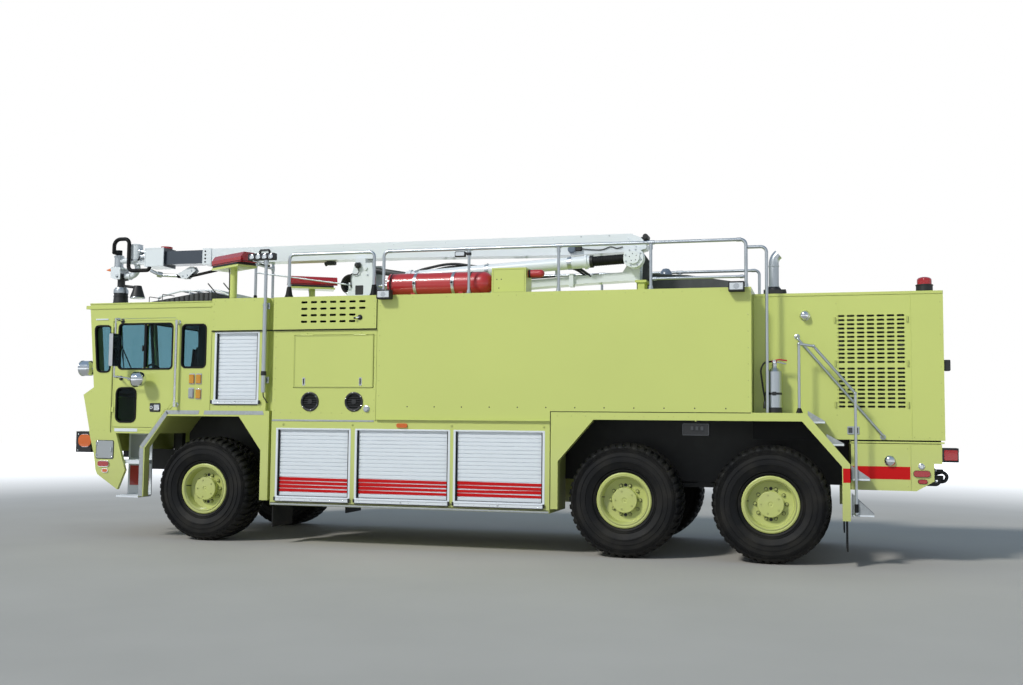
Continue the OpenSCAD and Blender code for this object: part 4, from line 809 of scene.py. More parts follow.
def cab_side_seals(side, s, wide):
    """Rubber round the cab's fixed panes"""
    wall = on_side(s * (SIDE - 0.032), s)
    quarter = soft([(5.033, 2.325), (5.25, 2.325), (5.306, 2.992), (5.033, 2.992)], 0.075)
    rear = rounded(3.511, 3.889, 2.383, 2.991, 0.062)
    made = Shape("seal")
    for outline in (quarter, rear):
        out = inset(outline, -0.012)
        made.band(out, wide + 0.006, 0, 0.042, wall, 0.006)
    made.piece(f"cab_side_seals_{side}", "rubber")


def door_seals(side, s, wide):
    """Rubber round the door's panes, its divider and the sliding half's latch"""
    wall = on_side(s * (SIDE - 0.032), s)
    made = Shape("seal")
    for outline in (rounded(4.035, 4.908, 2.365, 3.014, 0.062), rounded(4.597, 4.92, 1.617, 2.106, 0.082)):
        made.band(inset(outline, -0.012), wide + 0.006, 0, 0.042, wall, 0.006)
    made.box((4.455, 4.495), (2.37, 3.01), (0, 0.04), 0.005, wall)
    made.of("black").box((4.5, 4.52), (2.62, 2.7), (0.02, 0.048), 0.004, wall)
    made.piece(f"door_seals_{side}", "rubber", f"door_{side}")


def windscreen_seals(foot, up, out, wide):
    """Frames in the plane of the leaning panes"""
    made = Shape("seal")
    for s in (1, -1):
        place = Matrix.Translation(foot + out * -0.03)
        place.col[0][:3] = (0, s, 0)
        place.col[1][:3] = up
        place.col[2][:3] = out
        low, high = (2.19 - foot.z) / up.z, (3.15 - foot.z) / up.z
        made.band(inset(rounded(0.034, 1.36, low, high, 0.03), -0.01), wide + 0.004, 0, 0.04, place, 0.006)
    made.piece("windscreen_seals", "rubber")


def wipers(foot, up, out):
    """Two wipers, each with its arm, blade and wheel box"""
    made = Shape("black")
    for s in (1, -1):
        pivot = foot + up * 0.03 + Vector((0, s * 0.35, 0))
        tip = foot + up * 0.66 + Vector((0, s * 0.78, 0)) + out * 0.035
        made.lathe([(0.03, 0), (0.026, 0.035), (0.012, 0.05), (0, 0.05)], pivot, out, 16)
        made.tube([pivot + out * 0.04, pivot.lerp(tip, 0.3) + out * 0.03, tip], 0.009, 8)
        for k in (-0.34, 0.34):
            made.tube([tip, tip + up * k + out * -0.022], 0.006, 8)
        made.tube([tip + up * -0.36 + out * -0.025, tip + up * 0.36 + out * -0.025], 0.007, 8)
    made.piece("wipers")


class TRUCK_OT_seals(bpy.types.Operator):
    """Rubber round each pane, and the divider of the door's window"""

    bl_idname = "truck.seals"
    bl_label = "Window seals"

    def execute(self, context):
        wide = context.scene.truck_sizes.seal
        for side, s in SIDES:
            cab_side_seals(side, s, wide)
            door_seals(side, s, wide)
        foot = Vector((5.293, 0, 2.11))
        top = Vector((5.391, 0, 3.235))
        up = (top - foot).normalized()
        out = Vector((up.z, 0, -up.x))
        windscreen_seals(foot, up, out, wide)
        wipers(foot, up, out)
        return {"FINISHED"}


def cab_fittings(side, s, bolt):
    """Gutters, marker boxes, rail feet and the small locker on the side of the cab"""
    wall = on_side(s * SIDE, s)
    out = (0, s, 0)
    made = Shape("lime")
    # Gutter under the roof cap, seam strips and the swage over the door
    made.box((3.432, 5.392), (3.226, 3.246), (0, 0.014), 0.005, wall)
    made.box((3.986, 5.002), (3.052, 3.064), (0, 0.008), 0.003, wall)
    made.box((3.425, 3.44), (1.8, 3.226), (0, 0.006), 0.002, wall)
    made.box((5.004, 5.012), (1.48, 3.06), (0, 0.004), 0.001, wall)
    made.of("white enamel").box((5.085, 5.293), (3.07, 3.09), (0, 0.01), 0.003, wall)
    # Marker boxes behind the door, three amber and one grey
    for x, z, body in (
        (3.715, 2.228, "yellow lens"), (3.607, 2.228, "yellow lens"), (3.607, 2.019, "yellow lens"),
        (3.72, 2.031, "grey enamel")
    ):
        made.of("steel tube").slab(rounded_at(x, z, 0.045, 0.075, 0.012), 0, 0.006, wall, 0.002)
        made.of(body).slab(rounded(*near(x, 0.038), z - 0.066, z + 0.06, 0.012), 0.006, 0.026, wall, 0.008)
        made.of("chrome").bolts(
            [(x, s * (SIDE + 0.006), z + 0.069), (x, s * (SIDE + 0.006), z - 0.071)], out, 0.01, 8)
    # Feet of the grab rail
    for z in (1.868, 3.019):
        made.of("chrome").lathe(
            [(0.032, 0), (0.032, 0.006), (0.022, 0.016), (0.019, 0.05), (0, 0.05)],
            (3.945, s * SIDE, z), out, 20)
        made.lathe(
            [(0.021, -0.03), (0.021, 0.03), (0, 0.034)],
            (3.945, s * 1.585, z), (0, 0, 1 if z > 2 else -1), 20)
    # Grey locker by the step: lid, dark frame, catch and hinges
    made.of("grey enamel").slab(rounded(4.938, 5.21, 1.106, 1.353, 0.02), 0, 0.012, wall, 0.004)
    made.of("black").band(rounded(4.93, 5.218, 1.098, 1.361, 0.025), 0.01, 0, 0.006, wall)
    made.of("steel tube").box((4.952, 4.978), (1.2, 1.26), (0.012, 0.026), 0.004, wall)
    for z in (1.15, 1.31):
        made.box((5.196, 5.214), near(z, 0.022), (0.006, 0.02), 0.004, wall)
    made.of("chrome").bolts(
        [(x, s * (SIDE + 0.011), z) for x in (4.955, 5.19) for z in (1.123, 1.335)], out, 0.012, 8)
    # Bolts in the darkened lime: painted shade
    made.of("lime painted shade").bolts([(x, s * SIDE, 1.498) for x in row(4.6, 5.3, 8)], out, bolt * 0.6, 8)
    made.bolts([(5.35 - 0.02 * sin(z), s * SIDE, z) for z in row(1.55, 2.05, 4)], out, bolt * 0.6, 8)
    # Bezels round the ovals low on the skirt
    for x, z, a, b in ((5.088, 1.03, 0.086, 0.036), (5.06, 0.935, 0.042, 0.022)):
        made.of("chrome").band(
            rounded_at(x, z, a + 0.01, b + 0.01, b * 0.95 + 0.008), 0.012, 0, 0.014, wall, 0.003)
    made.piece(f"cab_fittings_{side}", "lime_paint")


def door_sill(side, s):
    """Bright plate under the door"""
    made = Shape("anodised")
    made.box((4.56, 4.93), (1.487, 1.531), (0, 0.004), 0.001, on_side(s * (SIDE + 0.0005), s))
    made.piece(f"door_sill_{side}", "aluminium")


def door_fittings(side, s):
    """Latch, lock and edging of the door"""
    wall = on_side(s * SIDE, s)
    out = (0, s, 0)
    made = Shape("black")
    made.slab(rounded(4.2, 4.372, 1.765, 1.89, 0.018), 0, 0.004, wall, 0.001)
    made.of("chrome").slab(rounded(4.212, 4.3, 1.785, 1.87, 0.014), 0.004, 0.022, wall, 0.006)
    made.lathe(
        [(0.026, 0), (0.026, 0.014), (0.02, 0.018), (0, 0.018)], (4.337, s * (SIDE + 0.004), 1.828), out, 20)
    made.of("black").lathe(
        [(0.012, 0), (0.011, 0.002), (0, 0.002)], (4.337, s * (SIDE + 0.022), 1.828), out, 12)
    # Flange strip of the door, its lower seam and the hinge screws
    made.of("lime").band(
        inset(
            [(4.992, 1.49), (4.992, 3.045), (3.997, 3.045), (3.997, 1.9), (4.06, 1.83), (4.335, 1.49)], 0.012
        ), 0.018, 0, 0.003, wall, 0.001)
    # Hinge screws in the darkened lime: painted shade
    made.of("lime painted shade").bolts([(4.965, s * SIDE, z) for z in (1.775, 1.81, 2.975, 3.01)], out, 0.014, 8)
    made.of("black rubber").tube([(4.99, s * 1.527, z) for z in (1.47, 3.05)], 0.004, 6)
    made.piece(f"door_fittings_{side}", "lime_paint", f"door_{side}")


def mirrors(side, s):
    """Long mirror with its glass to the back, and round mirror in a chrome bowl"""
    out = (0, s, 0)
    made = Shape("steel tube")
    long_one = Matrix(((0, 0, 1, 4.829), (s, 0, 0, s * 1.76), (0, 1, 0, 2.625), (0, 0, 0, 1)))
    made.slab(rounded(-0.0895, 0.0895, -0.229, 0.229, 0.03), 0, 0.01, long_one, 0.006)
    back = Matrix(((0, 0, -1, 4.776), (s, 0, 0, s * 1.76), (0, 1, 0, 2.625), (0, 0, 0, 1)))
    made.of("mirror").slab(rounded(-0.082, 0.082, -0.215, 0.02, 0.012), 0, 0.004, back, 0.002)
    made.slab(rounded(-0.082, 0.082, 0.04, 0.215, 0.012), 0, 0.004, back, 0.002)
    made.of("seal").band(rounded(-0.0895, 0.0895, -0.228, 0.228, 0.02), 0.008, 0, 0.007, back, 0.002)
    bowl = look((4.442, s * 1.7, 2.215), BACK)
    made.of("chrome").turned(
        [(0.1075, -0.006)] + [(0.1085 * cos(t), 0.096 * sin(t)) for t in row(0.0, 1.3, 9)] + [(0, 0.094)],
        bowl, 40)
    made.bolts(circle("x", (4.35, s * 1.7, 2.215), 0.018, (0.5, 2.6, 4.7)), BACK, 0.01, 8)
    made.of("mirror").lathe([(0.098, 0), (0.092, 0.004), (0, 0.008)], (4.505, s * 1.7, 2.215), AHEAD, 32)
    made.of("seal").lathe(
        [(0.1, 0), (0.107, 0.002), (0.107, 0.008), (0.1, 0.008), (0.1, 0)],
        (4.503, s * 1.7, 2.215), AHEAD, 32)
    for x, z in ((4.8, 3.06), (4.8, 2.25)):
        made.of("chrome").lathe([(0.02, -0.02), (0.02, 0.02), (0, 0.02)], (x, s * 1.7, z), (0.5, s, 0), 12)
    for z in (3.05, 2.24):
        made.of("black").lathe(
            [(0.034, 0), (0.032, 0.008), (0.016, 0.014), (0, 0.014)], (4.85, s * SIDE, z), out, 16)
    made.piece(f"mirrors_{side}", "chassis_black", f"door_{side}")


class TRUCK_OT_cab_fittings(bpy.types.Operator):
    """Gutters, marker boxes and lockers of the cab, sills, latches and mirrors of its doors"""

    bl_idname = "truck.cab_fittings"
    bl_label = "Cab fittings"

    def execute(self, context):
        for side, s in SIDES:
            cab_fittings(side, s, context.scene.truck_sizes.bolt)
            door_sill(side, s)
            door_fittings(side, s)
            mirrors(side, s)
        return {"FINISHED"}


def arch_trims(side, s):
    """Bright strips along the front arch"""
    wall = on_side(s * SIDE, s)
    made = Shape("galvanised")
    for outline in (
        [(2.597, 1.736), (3.52, 1.736), (3.505, 1.79), (2.612, 1.79)],
        [(3.6, 1.736), (4.098, 1.736), (4.114, 1.79), (3.585, 1.79)],
        [(4.114, 1.788), (4.072, 1.748), (4.455, 1.262), (4.512, 1.283)],
        [(4.45, 0.59), (4.514, 0.59), (4.514, 1.272), (4.452, 1.256)],
    ):
        made.slab(outline, 0, 0.003, wall, 0.001)
    made.piece(f"arch_trims_{side}", "aluminium")


def body_seams(side, s, bolt):
    """Seams, strips and bolts of the body's panels"""
    wall = on_side(s * SIDE, s)
    out = (0, s, 0)
    made = Shape("lime")
    # Seams between the body's sections, and the drip lip over the lockers
    made.box((0.962, 0.97), (1.68, 2.885), (0, 0.005), 0.002, wall)
    made.box((-3.245, -3.229), (1.7, 1.806), (0, 0.004), 0.001, wall)
    made.box((-1.402, 0.955), (1.684, 1.694), (0, 0.044), 0.003, wall)
    # Dark joints round the rear fender
    made.of("seal").box((-3.9, -1.408), (1.804, 1.813), (-0.001, 0.002), 0, wall)
    made.box((-1.416, -1.408), (1.56, 1.813), (-0.001, 0.002), 0, wall)
    # Black strips along the ledge over the front compartments: painted shadow under the header's edge
    made.box((2.482, 3.42), (2.88, 2.896), (0, 0.026), 0.004, wall)
    made.box((0.962, 2.47), (2.88, 2.896), (0, 0.026), 0.004, wall)
    made.of("galvanised").box((0.985, 2.472), (1.655, 1.678), (0, 0.006), 0.002, wall)
    made.of("black").bolts([(x, s * SIDE, 1.86) for x in row(-3.6, 0.52, 12)], out, bolt * 0.8, 8)
    # Rows of rivets as (places along x, places along z, wall, part of the bolts' width)
    # Rivets in the darkened lime: painted shade
    made.of("lime painted shade")
    for along, heights, y, size in (
        (row(-3.78, 0.7, 20), [3.3], SIDE, 0.6),
        ([0.925, -3.87], row(2.0, 3.2, 7), SIDE, 0.7),
        (row(2.62, 3.37, 6), [3.305], LEDGE, 0.7),
        ([3.39, 2.61], row(2.95, 3.26, 4), LEDGE, 0.6),
        (row(2.66, 3.38, 7), [1.845], SIDE, 0.7),
        ([2.61], row(1.95, 2.8, 7), SIDE, 0.7),
        ([2.44, 0.992], row(1.8, 2.8, 8), SIDE, 0.7),
        (row(1.15, 2.35, 9), [1.77], SIDE, 0.7),
        ([2.44, 1.0], row(2.96, 3.26, 4), LEDGE, 0.6),
        (row(-3.15, -1.5, 10), [1.755], SIDE, 0.6),
    ):
        made.bolts([(x, s * y, z) for x in along for z in heights], out, bolt * size, 8)
    # Bolts of the lockers' header, in the darkened lime: painted shade
    made.bolts([(x, s * SIDE, 1.612) for x in (2.3, 1.29, -0.1, -1.33)], out, bolt, 6)
    made.piece(f"body_seams_{side}", "lime_paint")


def deck_box(side, s):
    """Small box with three switches under the deck between the rear wheels"""
    wall = on_side(s * SIDE, s)
    made = Shape("black")
    made.box((-3.395, -3.071), (1.528, 1.675), (-0.1, -0.04), 0.01, wall)
    made.of("dark grey").band(rounded(-3.395, -3.071, 1.528, 1.675, 0.012), 0.012, -0.04, -0.032, wall, 0.002)
    for x in (-3.31, -3.25, -3.19):
        made.box(near(x, 0.018), (1.59, 1.64), (-0.04, -0.03), 0.003, wall)
    made.of("black").box((-3.27, -3.23), (1.675, 1.8), (-0.1, -0.06), 0.003, wall)
    made.piece(f"deck_box_{side}")


class TRUCK_OT_trims(bpy.types.Operator):
    """Bright arch trims, panel bolts and the seams of the body"""

    bl_idname = "truck.trims"
    bl_label = "Trims and bolts"

    def execute(self, context):
        for side, s in SIDES:
            arch_trims(side, s)
            body_seams(side, s, context.scene.truck_sizes.bolt)
            deck_box(side, s)
        return {"FINISHED"}


def shutter_fittings(side, s):
    """Tracks, bottom bars, seals and locks of the four shutters on a side"""
    wall = on_side(s * SIDE, s)
    made = Shape("anodised")
    for n, (x0, x1, z0, z1) in enumerate(
        [(a, b, 0.59, 1.56) for a, b in SHUTTERS] + [(2.69, 3.37, 1.88, 2.872)]
    ):
        # Track lips stand just proud of the wall; the header's lip hides the drum
        for a, b in ((x0 - 0.004, x0 + 0.026), (x1 - 0.026, x1 + 0.004)):
            made.of("anodised").box((a, b), (z0 + 0.002, z1), (-0.03, 0.004), 0.002, wall)
        made.box((x0, x1), (z1 - 0.018, z1 + 0.004), (-0.034, 0.006), 0.003, wall)
        made.of("seal").box((x1 - 0.044, x1 - 0.027), (z0 + 0.064, z1 - 0.018), (-0.029, -0.01), 0.002, wall)
        made.box((x0 + 0.027, x0 + 0.04), (z0 + 0.064, z1 - 0.018), (-0.029, -0.004), 0.002, wall)
        made.box((x0 + 0.04, x1 - 0.04), (z0 + 0.058, z0 + 0.066), (-0.029, 0.01), 0.002, wall)
        # Bottom bar: a bright bar with a grip and black end caps, wider than the curtain on the upper one
        reach = 0.028 if n == 3 else 0.0
        low = z0 - 0.004 if n < 3 else 1.88
        made.of("anodised").box(
            (x0 + 0.004 - reach, x1 - 0.004 + reach), (low, low + 0.058), (0.0125, 0.026), 0.006, wall)
        made.box((x0 + 0.02, x1 - 0.02), (low + 0.04, low + 0.056), (0.026, 0.034), 0.004, wall)
        for x in (x0 + 0.003 - reach, x1 - 0.003 + reach):
            made.of("black").box(near(x, 0.014), (low + 0.004, low + 0.054), (0.0128, 0.03), 0.004, wall)
        made.of("black").box((x0 + 0.01, x1 - 0.01), (low - 0.012, low), (-0.02, 0.016), 0.003, wall)
        # Lock barrel and the rivets of the grip
        middle = (x0 + x1) / 2
        made.of("chrome").lathe(
            [(0.014, 0), (0.013, 0.005), (0, 0.006)],
            (middle, s * (SIDE + 0.026), low + 0.028), (0, s, 0), 16)
        made.bolts(
            [(x, s * (SIDE + 0.0255), low + 0.02) for x in row(x0 + 0.08, x1 - 0.08, 6)], (0, s, 0), 0.01, 8)
    # Silver trim under the lower lockers
    made.of("galvanised").box((-1.4, 2.47), (0.53, 0.552), (-0.002, 0.006), 0.003, wall)
    made.of("black").box((-1.4, 2.47), (0.556, 0.566), (-0.002, 0.003), 0.001, wall)
    made.piece(f"shutter_fittings_{side}", "aluminium")


class TRUCK_OT_shutter_fittings(bpy.types.Operator):
    """Tracks, bottom bars, locks and seals of the roller shutters"""

    bl_idname = "truck.shutter_fittings"
    bl_label = "Shutter fittings"

    def execute(self, context):
        for side, s in SIDES:
            shutter_fittings(side, s)
        return {"FINISHED"}


def vent_fittings(side, s):
    """Grilles of the two round vents, the socket and the crank"""
    wall = on_side(s * SIDE, s)
    out = (0, s, 0)
    made = Shape("black")
    for x in (1.917, 1.277):
        place = look((x, s * SIDE, 1.92), out)
        made.of("black").turned(
            [(0.1, 0), (0.132, 0), (0.13, 0.01), (0.118, 0.014), (0.104, 0.01), (0.1, 0)], place, 48)
        for k in range(7):
            h = -0.09 + 0.03 * k
            w = sqrt(0.108**2 - h * h)
            made.box(near(x, w), near(1.92 + h, 0.005), (-0.012, -0.002), 0.002, wall)
        made.turned([(0.034, -0.012), (0.034, 0.002), (0, 0.004)], place, 24)
        # Dark disc behind the bars: painted shade inside the vent
        made.of("seal").turned([(0.117, -0.016), (0.117, -0.013), (0, -0.013)], place, 40)
        made.of("chrome").bolts(
            circle("y", (x, s * (SIDE + 0.012), 1.92), 0.118, row(0.4, 0.4 + 2 * pi * 5 / 6, 6)), out, 0.012,
            8)
    # Socket for the shore line, capped
    made.of("steel tube").lathe(
        [(0.045, 0), (0.045, 0.008), (0.034, 0.012), (0.032, 0.03), (0, 0.032)],
        (1.093, s * SIDE, 1.829), out, 24)
    made.of("black").bolts([(1.204, s * LEDGE, 3.047)], out, 0.05, 6)
    made.of("steel tube").tube(
        [(1.204, s * (LEDGE + 0.02), 3.047), (1.26, s * (LEDGE + 0.03), 3.035)], 0.008, 10)
    made.of("black").box((1.253, 1.273), (3.02, 3.048), (0.038, 0.075), 0.006, wall)
    made.piece(f"vent_fittings_{side}")


def flap_rim(side, s):
    """Raised rim and slim latches of the flap"""
    wall = on_side(s * SIDE, s)
    # Rim in the darkened lime: painted shade
    made = Shape("lime painted shade")
    made.band(rounded(1.008, 2.159, 2.11, 2.812, 0.02), 0.014, 0.0079, 0.011, wall, 0.001)
    for x in (2.009, 1.186):
        made.of("chrome").slab(rounded(*near(x, 0.02), 2.135, 2.245, 0.008), 0.008, 0.014, wall, 0.002)
        made.of("black").slab(rounded(*near(x, 0.009), 2.15, 2.23, 0.006), 0.014, 0.018, wall, 0.002)
    made.piece(f"flap_rim_{side}", "lime_paint", f"flap_{side}")


class TRUCK_OT_vent_fittings(bpy.types.Operator):
    """Round vents' grilles, the flap's latches, the crank and the socket"""

    bl_idname = "truck.vent_fittings"
    bl_label = "Vent fittings"

    def execute(self, context):
        for side, s in SIDES:
            vent_fittings(side, s)
            flap_rim(side, s)
        return {"FINISHED"}


def rail_fittings(side, s):
    """Feet, clamps and work lamp of the hand rails"""
    y, top = s * 1.45, 3.935
    made = Shape("black")
    # Tall boots on the front frame's posts, low flanges on the long frame's
    for x in (1.048, 2.3):
        made.of("black rubber").lathe(
            [(0.062, 0), (0.06, 0.012), (0.045, 0.05), (0.033, 0.13), (0.0285, 0.15), (0, 0.15)],
            (x, y, ROOF), UP, 20)
    for x in (-3.845, -2.675, -1.49, -0.285, 0.911):
        made.of("steel tube").lathe(
            [(0.052, 0), (0.052, 0.006), (0.028, 0.012), (0.026, 0.05), (0, 0.05)], (x, y, ROOF), UP, 20)
        made.bolts([(x + 0.038, y, ROOF + 0.006), (x - 0.038, y, ROOF + 0.006)], UP, 0.012, 8)
    # Tee clamps where the middle posts meet the top tube, sleeves by the bends
    for x in (-2.675, -1.49, -0.285):
        made.of("steel tube").collar(0.021, 0.027, 0.05, (x, y, top), AHEAD, 20, 0.003)
        made.lathe([(0.026, -0.085), (0.026, -0.02), (0, -0.02)], (x, y, top), UP, 20)
        made.of("chrome").bolts([(x, y + s * 0.026, top)], (0, s, 0), 0.014, 8)
    for x in (2.215, 1.133, 0.826, -3.76):
        made.of("steel tube").collar(0.021, 0.025, 0.03, (x, y, top), AHEAD, 20)
    for x in (-3.823, -2.699):
        made.collar(0.017, 0.023, 0.022, (x + (0.03 if x < -3 else -0.03), y, 3.478), AHEAD, 16)
    # Work lamp clamped to the long frame's first post
    made.of("black").box((-0.238, -0.094), near(y, 0.03), (3.829, 3.901), 0.008)
    made.box((-0.285, -0.235), near(y, 0.012), (3.855, 3.885), 0.004)
    made.collar(0.022, 0.031, 0.02, (-0.285, y, 3.865), UP, 16, 0.004)
    made.of("clear lens").slab(
        rounded(-0.226, -0.106, 3.84, 3.89, 0.01), 0, 0.005, on_side(y + s * 0.03, s), 0.002)
    made.piece(f"rail_fittings_{side}")


def light_bar_fittings(side, s):
    """Seam, reflectors, cable and foot of a light bar"""
    x0, y0 = 3.263, s * 1.255
    place = Matrix.Translation((x0, y0, 0)) @ Matrix.Rotation(radians(-30 * s), 4, "Z")
    made = Shape("black")
    for k in (-1, 1):
        made.of("seal").box((-0.396, 0.396), span(k, 0.1305, 0.1335), (3.862, 3.87), 0.001, place)
        made.box(span(k, 0.396, 0.3975), (-0.125, 0.125), (3.862, 3.87), 0.0005, place)
        made.of("black").box((-0.33, 0.33), span(k, 0.1405, 0.152), (3.818, 3.846), 0.003, place)
        for i in range(9):
            x = -0.32 + 0.08 * i
            made.box(near(x, 0.004), span(k, 0.152, 0.155), (3.822, 3.842), 0.001, place)
    for x in (-0.24, 0.0, 0.24):
        made.of("seal").box(near(x, 0.003), (-0.0795, 0.0795), (3.9895, 3.9915), 0.0005, place)
    made.of("chrome").bolts(
        [tuple(place @ Vector((x, 0.15, 3.8))) for x in (-0.3, 0.3)],
        place.to_3x3() @ Vector((0, 1, 0)), 0.014, 8)
    # Foot in the darkened lime: painted shade
    made.of("lime painted shade").lathe(
        [(0.085, 0), (0.085, 0.01), (0.052, 0.014), (0.0505, 0.04), (0, 0.04)],
        (x0, y0, ROOF), UP, 32)
    made.bolts(circle("z", (x0, y0, ROOF + 0.01), 0.068, (0.8, 2.4, 3.9, 5.5)), UP, 0.014, 6)
    cable = [(3.315, s * 1.275, ROOF), (3.318, s * 1.275, 3.7), (3.33, s * 1.27, 3.8)]
    made.of("black").tube(cable, 0.008, 8)
    made.piece(f"light_bar_fittings_{side}", "lamp_coloured")


def floodlight_frames(side, s):
    """Frame, lens and fins of both floodlights"""
    made = Shape("black")
    front = s * (LEDGE + 0.11)
    face = on_side(front, s)
    for x in (0.835, -3.741):
        made.of("black").band(
            rounded(*near(x, 0.096), 3.279, 3.396, 0.012), 0.016, -0.03, 0.006, face, 0.003)
        made.of("clear lens").slab(rounded(*near(x, 0.08), 3.296, 3.38, 0.006), -0.001, 0.002, face, 0.001)
        made.of("chrome").lathe(
            [(0.03, 0.002), (0.034, 0.004), (0.0, 0.004)], (x, front, 3.338), (0, s, 0), 24)
        for i in range(5):
            made.of("black").box(
                near(x, 0.09), span(s, LEDGE + 0.018 + 0.016 * i, LEDGE + 0.022 + 0.016 * i),
                (3.2745, 3.401), 0.001)
        made.bolts([(x + 0.0955, s * (LEDGE + 0.06), 3.338)], AHEAD, 0.02, 6)
    made.piece(f"floodlight_frames_{side}")


def slope(x):
    """Height of the cooling unit's top"""
    return 3.335 + (5.125 - x) / 1.125 * 0.17 if x > 4.0 else 3.505


def cab_roof_fittings():
    """Louvres and blades of the cooling unit, the white rack and the aerials"""
    made = Shape("dark grey")
    for s in (1, -1):
        for x in row(3.84, 4.96, 15):
            made.of("black").box(near(x, 0.012), span(s, 0.9505, 0.962), (3.318, slope(x) - 0.008), 0.003)
        made.of("dark grey").box((3.8, 5.0), span(s, 0.9505, 0.957), (3.316, 3.33), 0.002)
    tilt = Matrix.Rotation(atan2(0.17, 1.125), 4, "Y")
    for x in row(4.08, 4.92, 13):
        made.of("black").box(
            (-0.02, 0.02), (-0.84, 0.84), (0.001, 0.012), 0.003, Matrix.Translation((x, 0, slope(x))) @ tilt)
    for s in (1, -1):
        y = s * 0.86
        made.of("white enamel").hose(
            [
                (3.47, y, 3.316), (3.47, y, 3.43), (3.74, y, 3.545), (4.36, y, 3.545), (4.72, y, 3.46),
                (4.72, y, 3.4),
            ], 0.05, 4, 0.013, 10)
        for x, z in ((3.86, 3.505), (4.2, slope(4.2))):
            made.tube([(x, y, z), (x, y, 3.545)], 0.011, 8)
    for x, z in ((3.5, 3.443), (3.62, 3.495), (3.76, 3.546), (3.96, 3.546), (4.16, 3.546), (4.34, 3.546)):
        made.tube([(x, -0.86, z), (x, 0.86, z)], 0.012, 10)
    # Two bent whip aerials and two small ones ahead of them
    for x in (3.678, 3.426):
        made.of("black").lathe(
            [(0.03, 0), (0.026, 0.02), (0.012, 0.035), (0, 0.036)], (x, 0.99, 3.315), UP, 16)
        made.hose([(x, 0.99, 3.33), (x, 0.99, 3.47), (x + 0.15, 0.99, 3.63)], 0.02, 4, 0.009, 8)
    for x in (4.63, 4.85):
        made.of("black").hose(
            [
                (x, 0.9, slope(x) - 0.005), (x, 0.9, slope(x) + 0.09), (x - 0.2, 0.9, slope(x) + 0.06),
            ], 0.015, 3, 0.006, 8)
    made.piece("cab_roof_fittings")


def roof_cap_lip():
    """Lip of the roof cap, with its lifting screws"""
    made = Shape("lime painted shade")
    for s in (1, -1):
        made.of("lime").box((3.432, 5.398), span(s, SIDE, SIDE + 0.01), (3.296, 3.314), 0.004)
        # Screws in the darkened lime: painted shade
        made.of("lime painted shade").bolts([(x, s * 1.43, 3.315) for x in row(3.55, 5.25, 8)], UP, 0.02, 8)
    made.piece("roof_cap_lip", "lime_paint")


def agent_fittings():
    """Straps, valve and pipe of the agent cylinder, and the valve box's door"""
    made = Shape("steel tube")
    y, axis = 1.2, 3.507
    for x in (0.515, -0.018):
        made.of("steel tube").collar(0.1555, 0.16, 0.02, (x, y, axis), AHEAD, 48, 0)
        made.box(near(x, 0.022), (1.338, 1.372), near(axis, 0.03), 0.005)
        made.of("black").bolts([(x, 1.372, axis)], LEFT, 0.022, 6)
    for x in (0.86, -0.26):
        made.of("black").collar(0.154, 0.1585, 0.011, (x, y, axis), AHEAD, 48)
    made.of("red enamel").lathe(
        [(0.156, 0), (0.14, 0.012), (0.05, 0.03), (0.05, 0.05), (0, 0.052)], (0.9, y, axis), AHEAD, 32)
    made.of("steel tube").lathe(
        [(0.03, 0), (0.03, 0.05), (0.018, 0.06), (0.018, 0.09), (0, 0.09)], (0.95, y, axis), AHEAD, 16)
    made.of("black").lathe([(0.0545, -0.012), (0.0545, 0.012), (0, 0.012)], (-1.05, y, 3.615), AHEAD, 24)
    made.of("steel tube").hose(
        [(1.04, y, axis), (1.09, y, axis), (1.09, 0.9, axis), (1.09, 0.9, ROOF)], 0.04, 5, 0.012, 10)
    # Valve box's door: seam, screws and catch
    # Seam in the darkened lime: painted shade
    made.of("lime painted shade").band(
        rounded(-1.01, -0.576, 3.36, 3.67, 0.012), 0.01, 0.0002, 0.003, on_side(1.33, 1), 0.001)
    made.of("black").bolts(
        [(-0.632, 1.3302, 3.535), (-0.692, 1.3302, 3.535), (-0.66, 1.3302, 3.42)], LEFT, 0.016, 8)
    made.piece("agent_fittings", "red_paint")


def hood_dome():
    """Blue-grey dome on the intake hood, seen over the far rail"""
    made = Shape("blue grey enamel")
    x, y = -2.55, -0.85
    made.lathe(
        [(0.1, 0.0), (0.1, 0.02), (0.092, 0.09), (0.075, 0.14), (0.045, 0.175), (0, 0.186)],
        (x, y, 3.735), UP, 32)
    made.of("dark grey").lathe([(0.115, 0), (0.115, 0.03), (0, 0.03)], (x, y, 3.725), UP, 32)
    made.piece("hood_dome")


class TRUCK_OT_roof_fittings(bpy.types.Operator):
    """Rail feet and clamps, light bars, cab rack and louvres, aerials, straps and floodlight frames"""

    bl_idname = "truck.roof_fittings"
    bl_label = "Roof fittings"

    def execute(self, context):
        for side, s in SIDES:
            rail_fittings(side, s)
            light_bar_fittings(side, s)
            floodlight_frames(side, s)
        cab_roof_fittings()
        roof_cap_lip()
        agent_fittings()
        hood_dome()
        return {"FINISHED"}


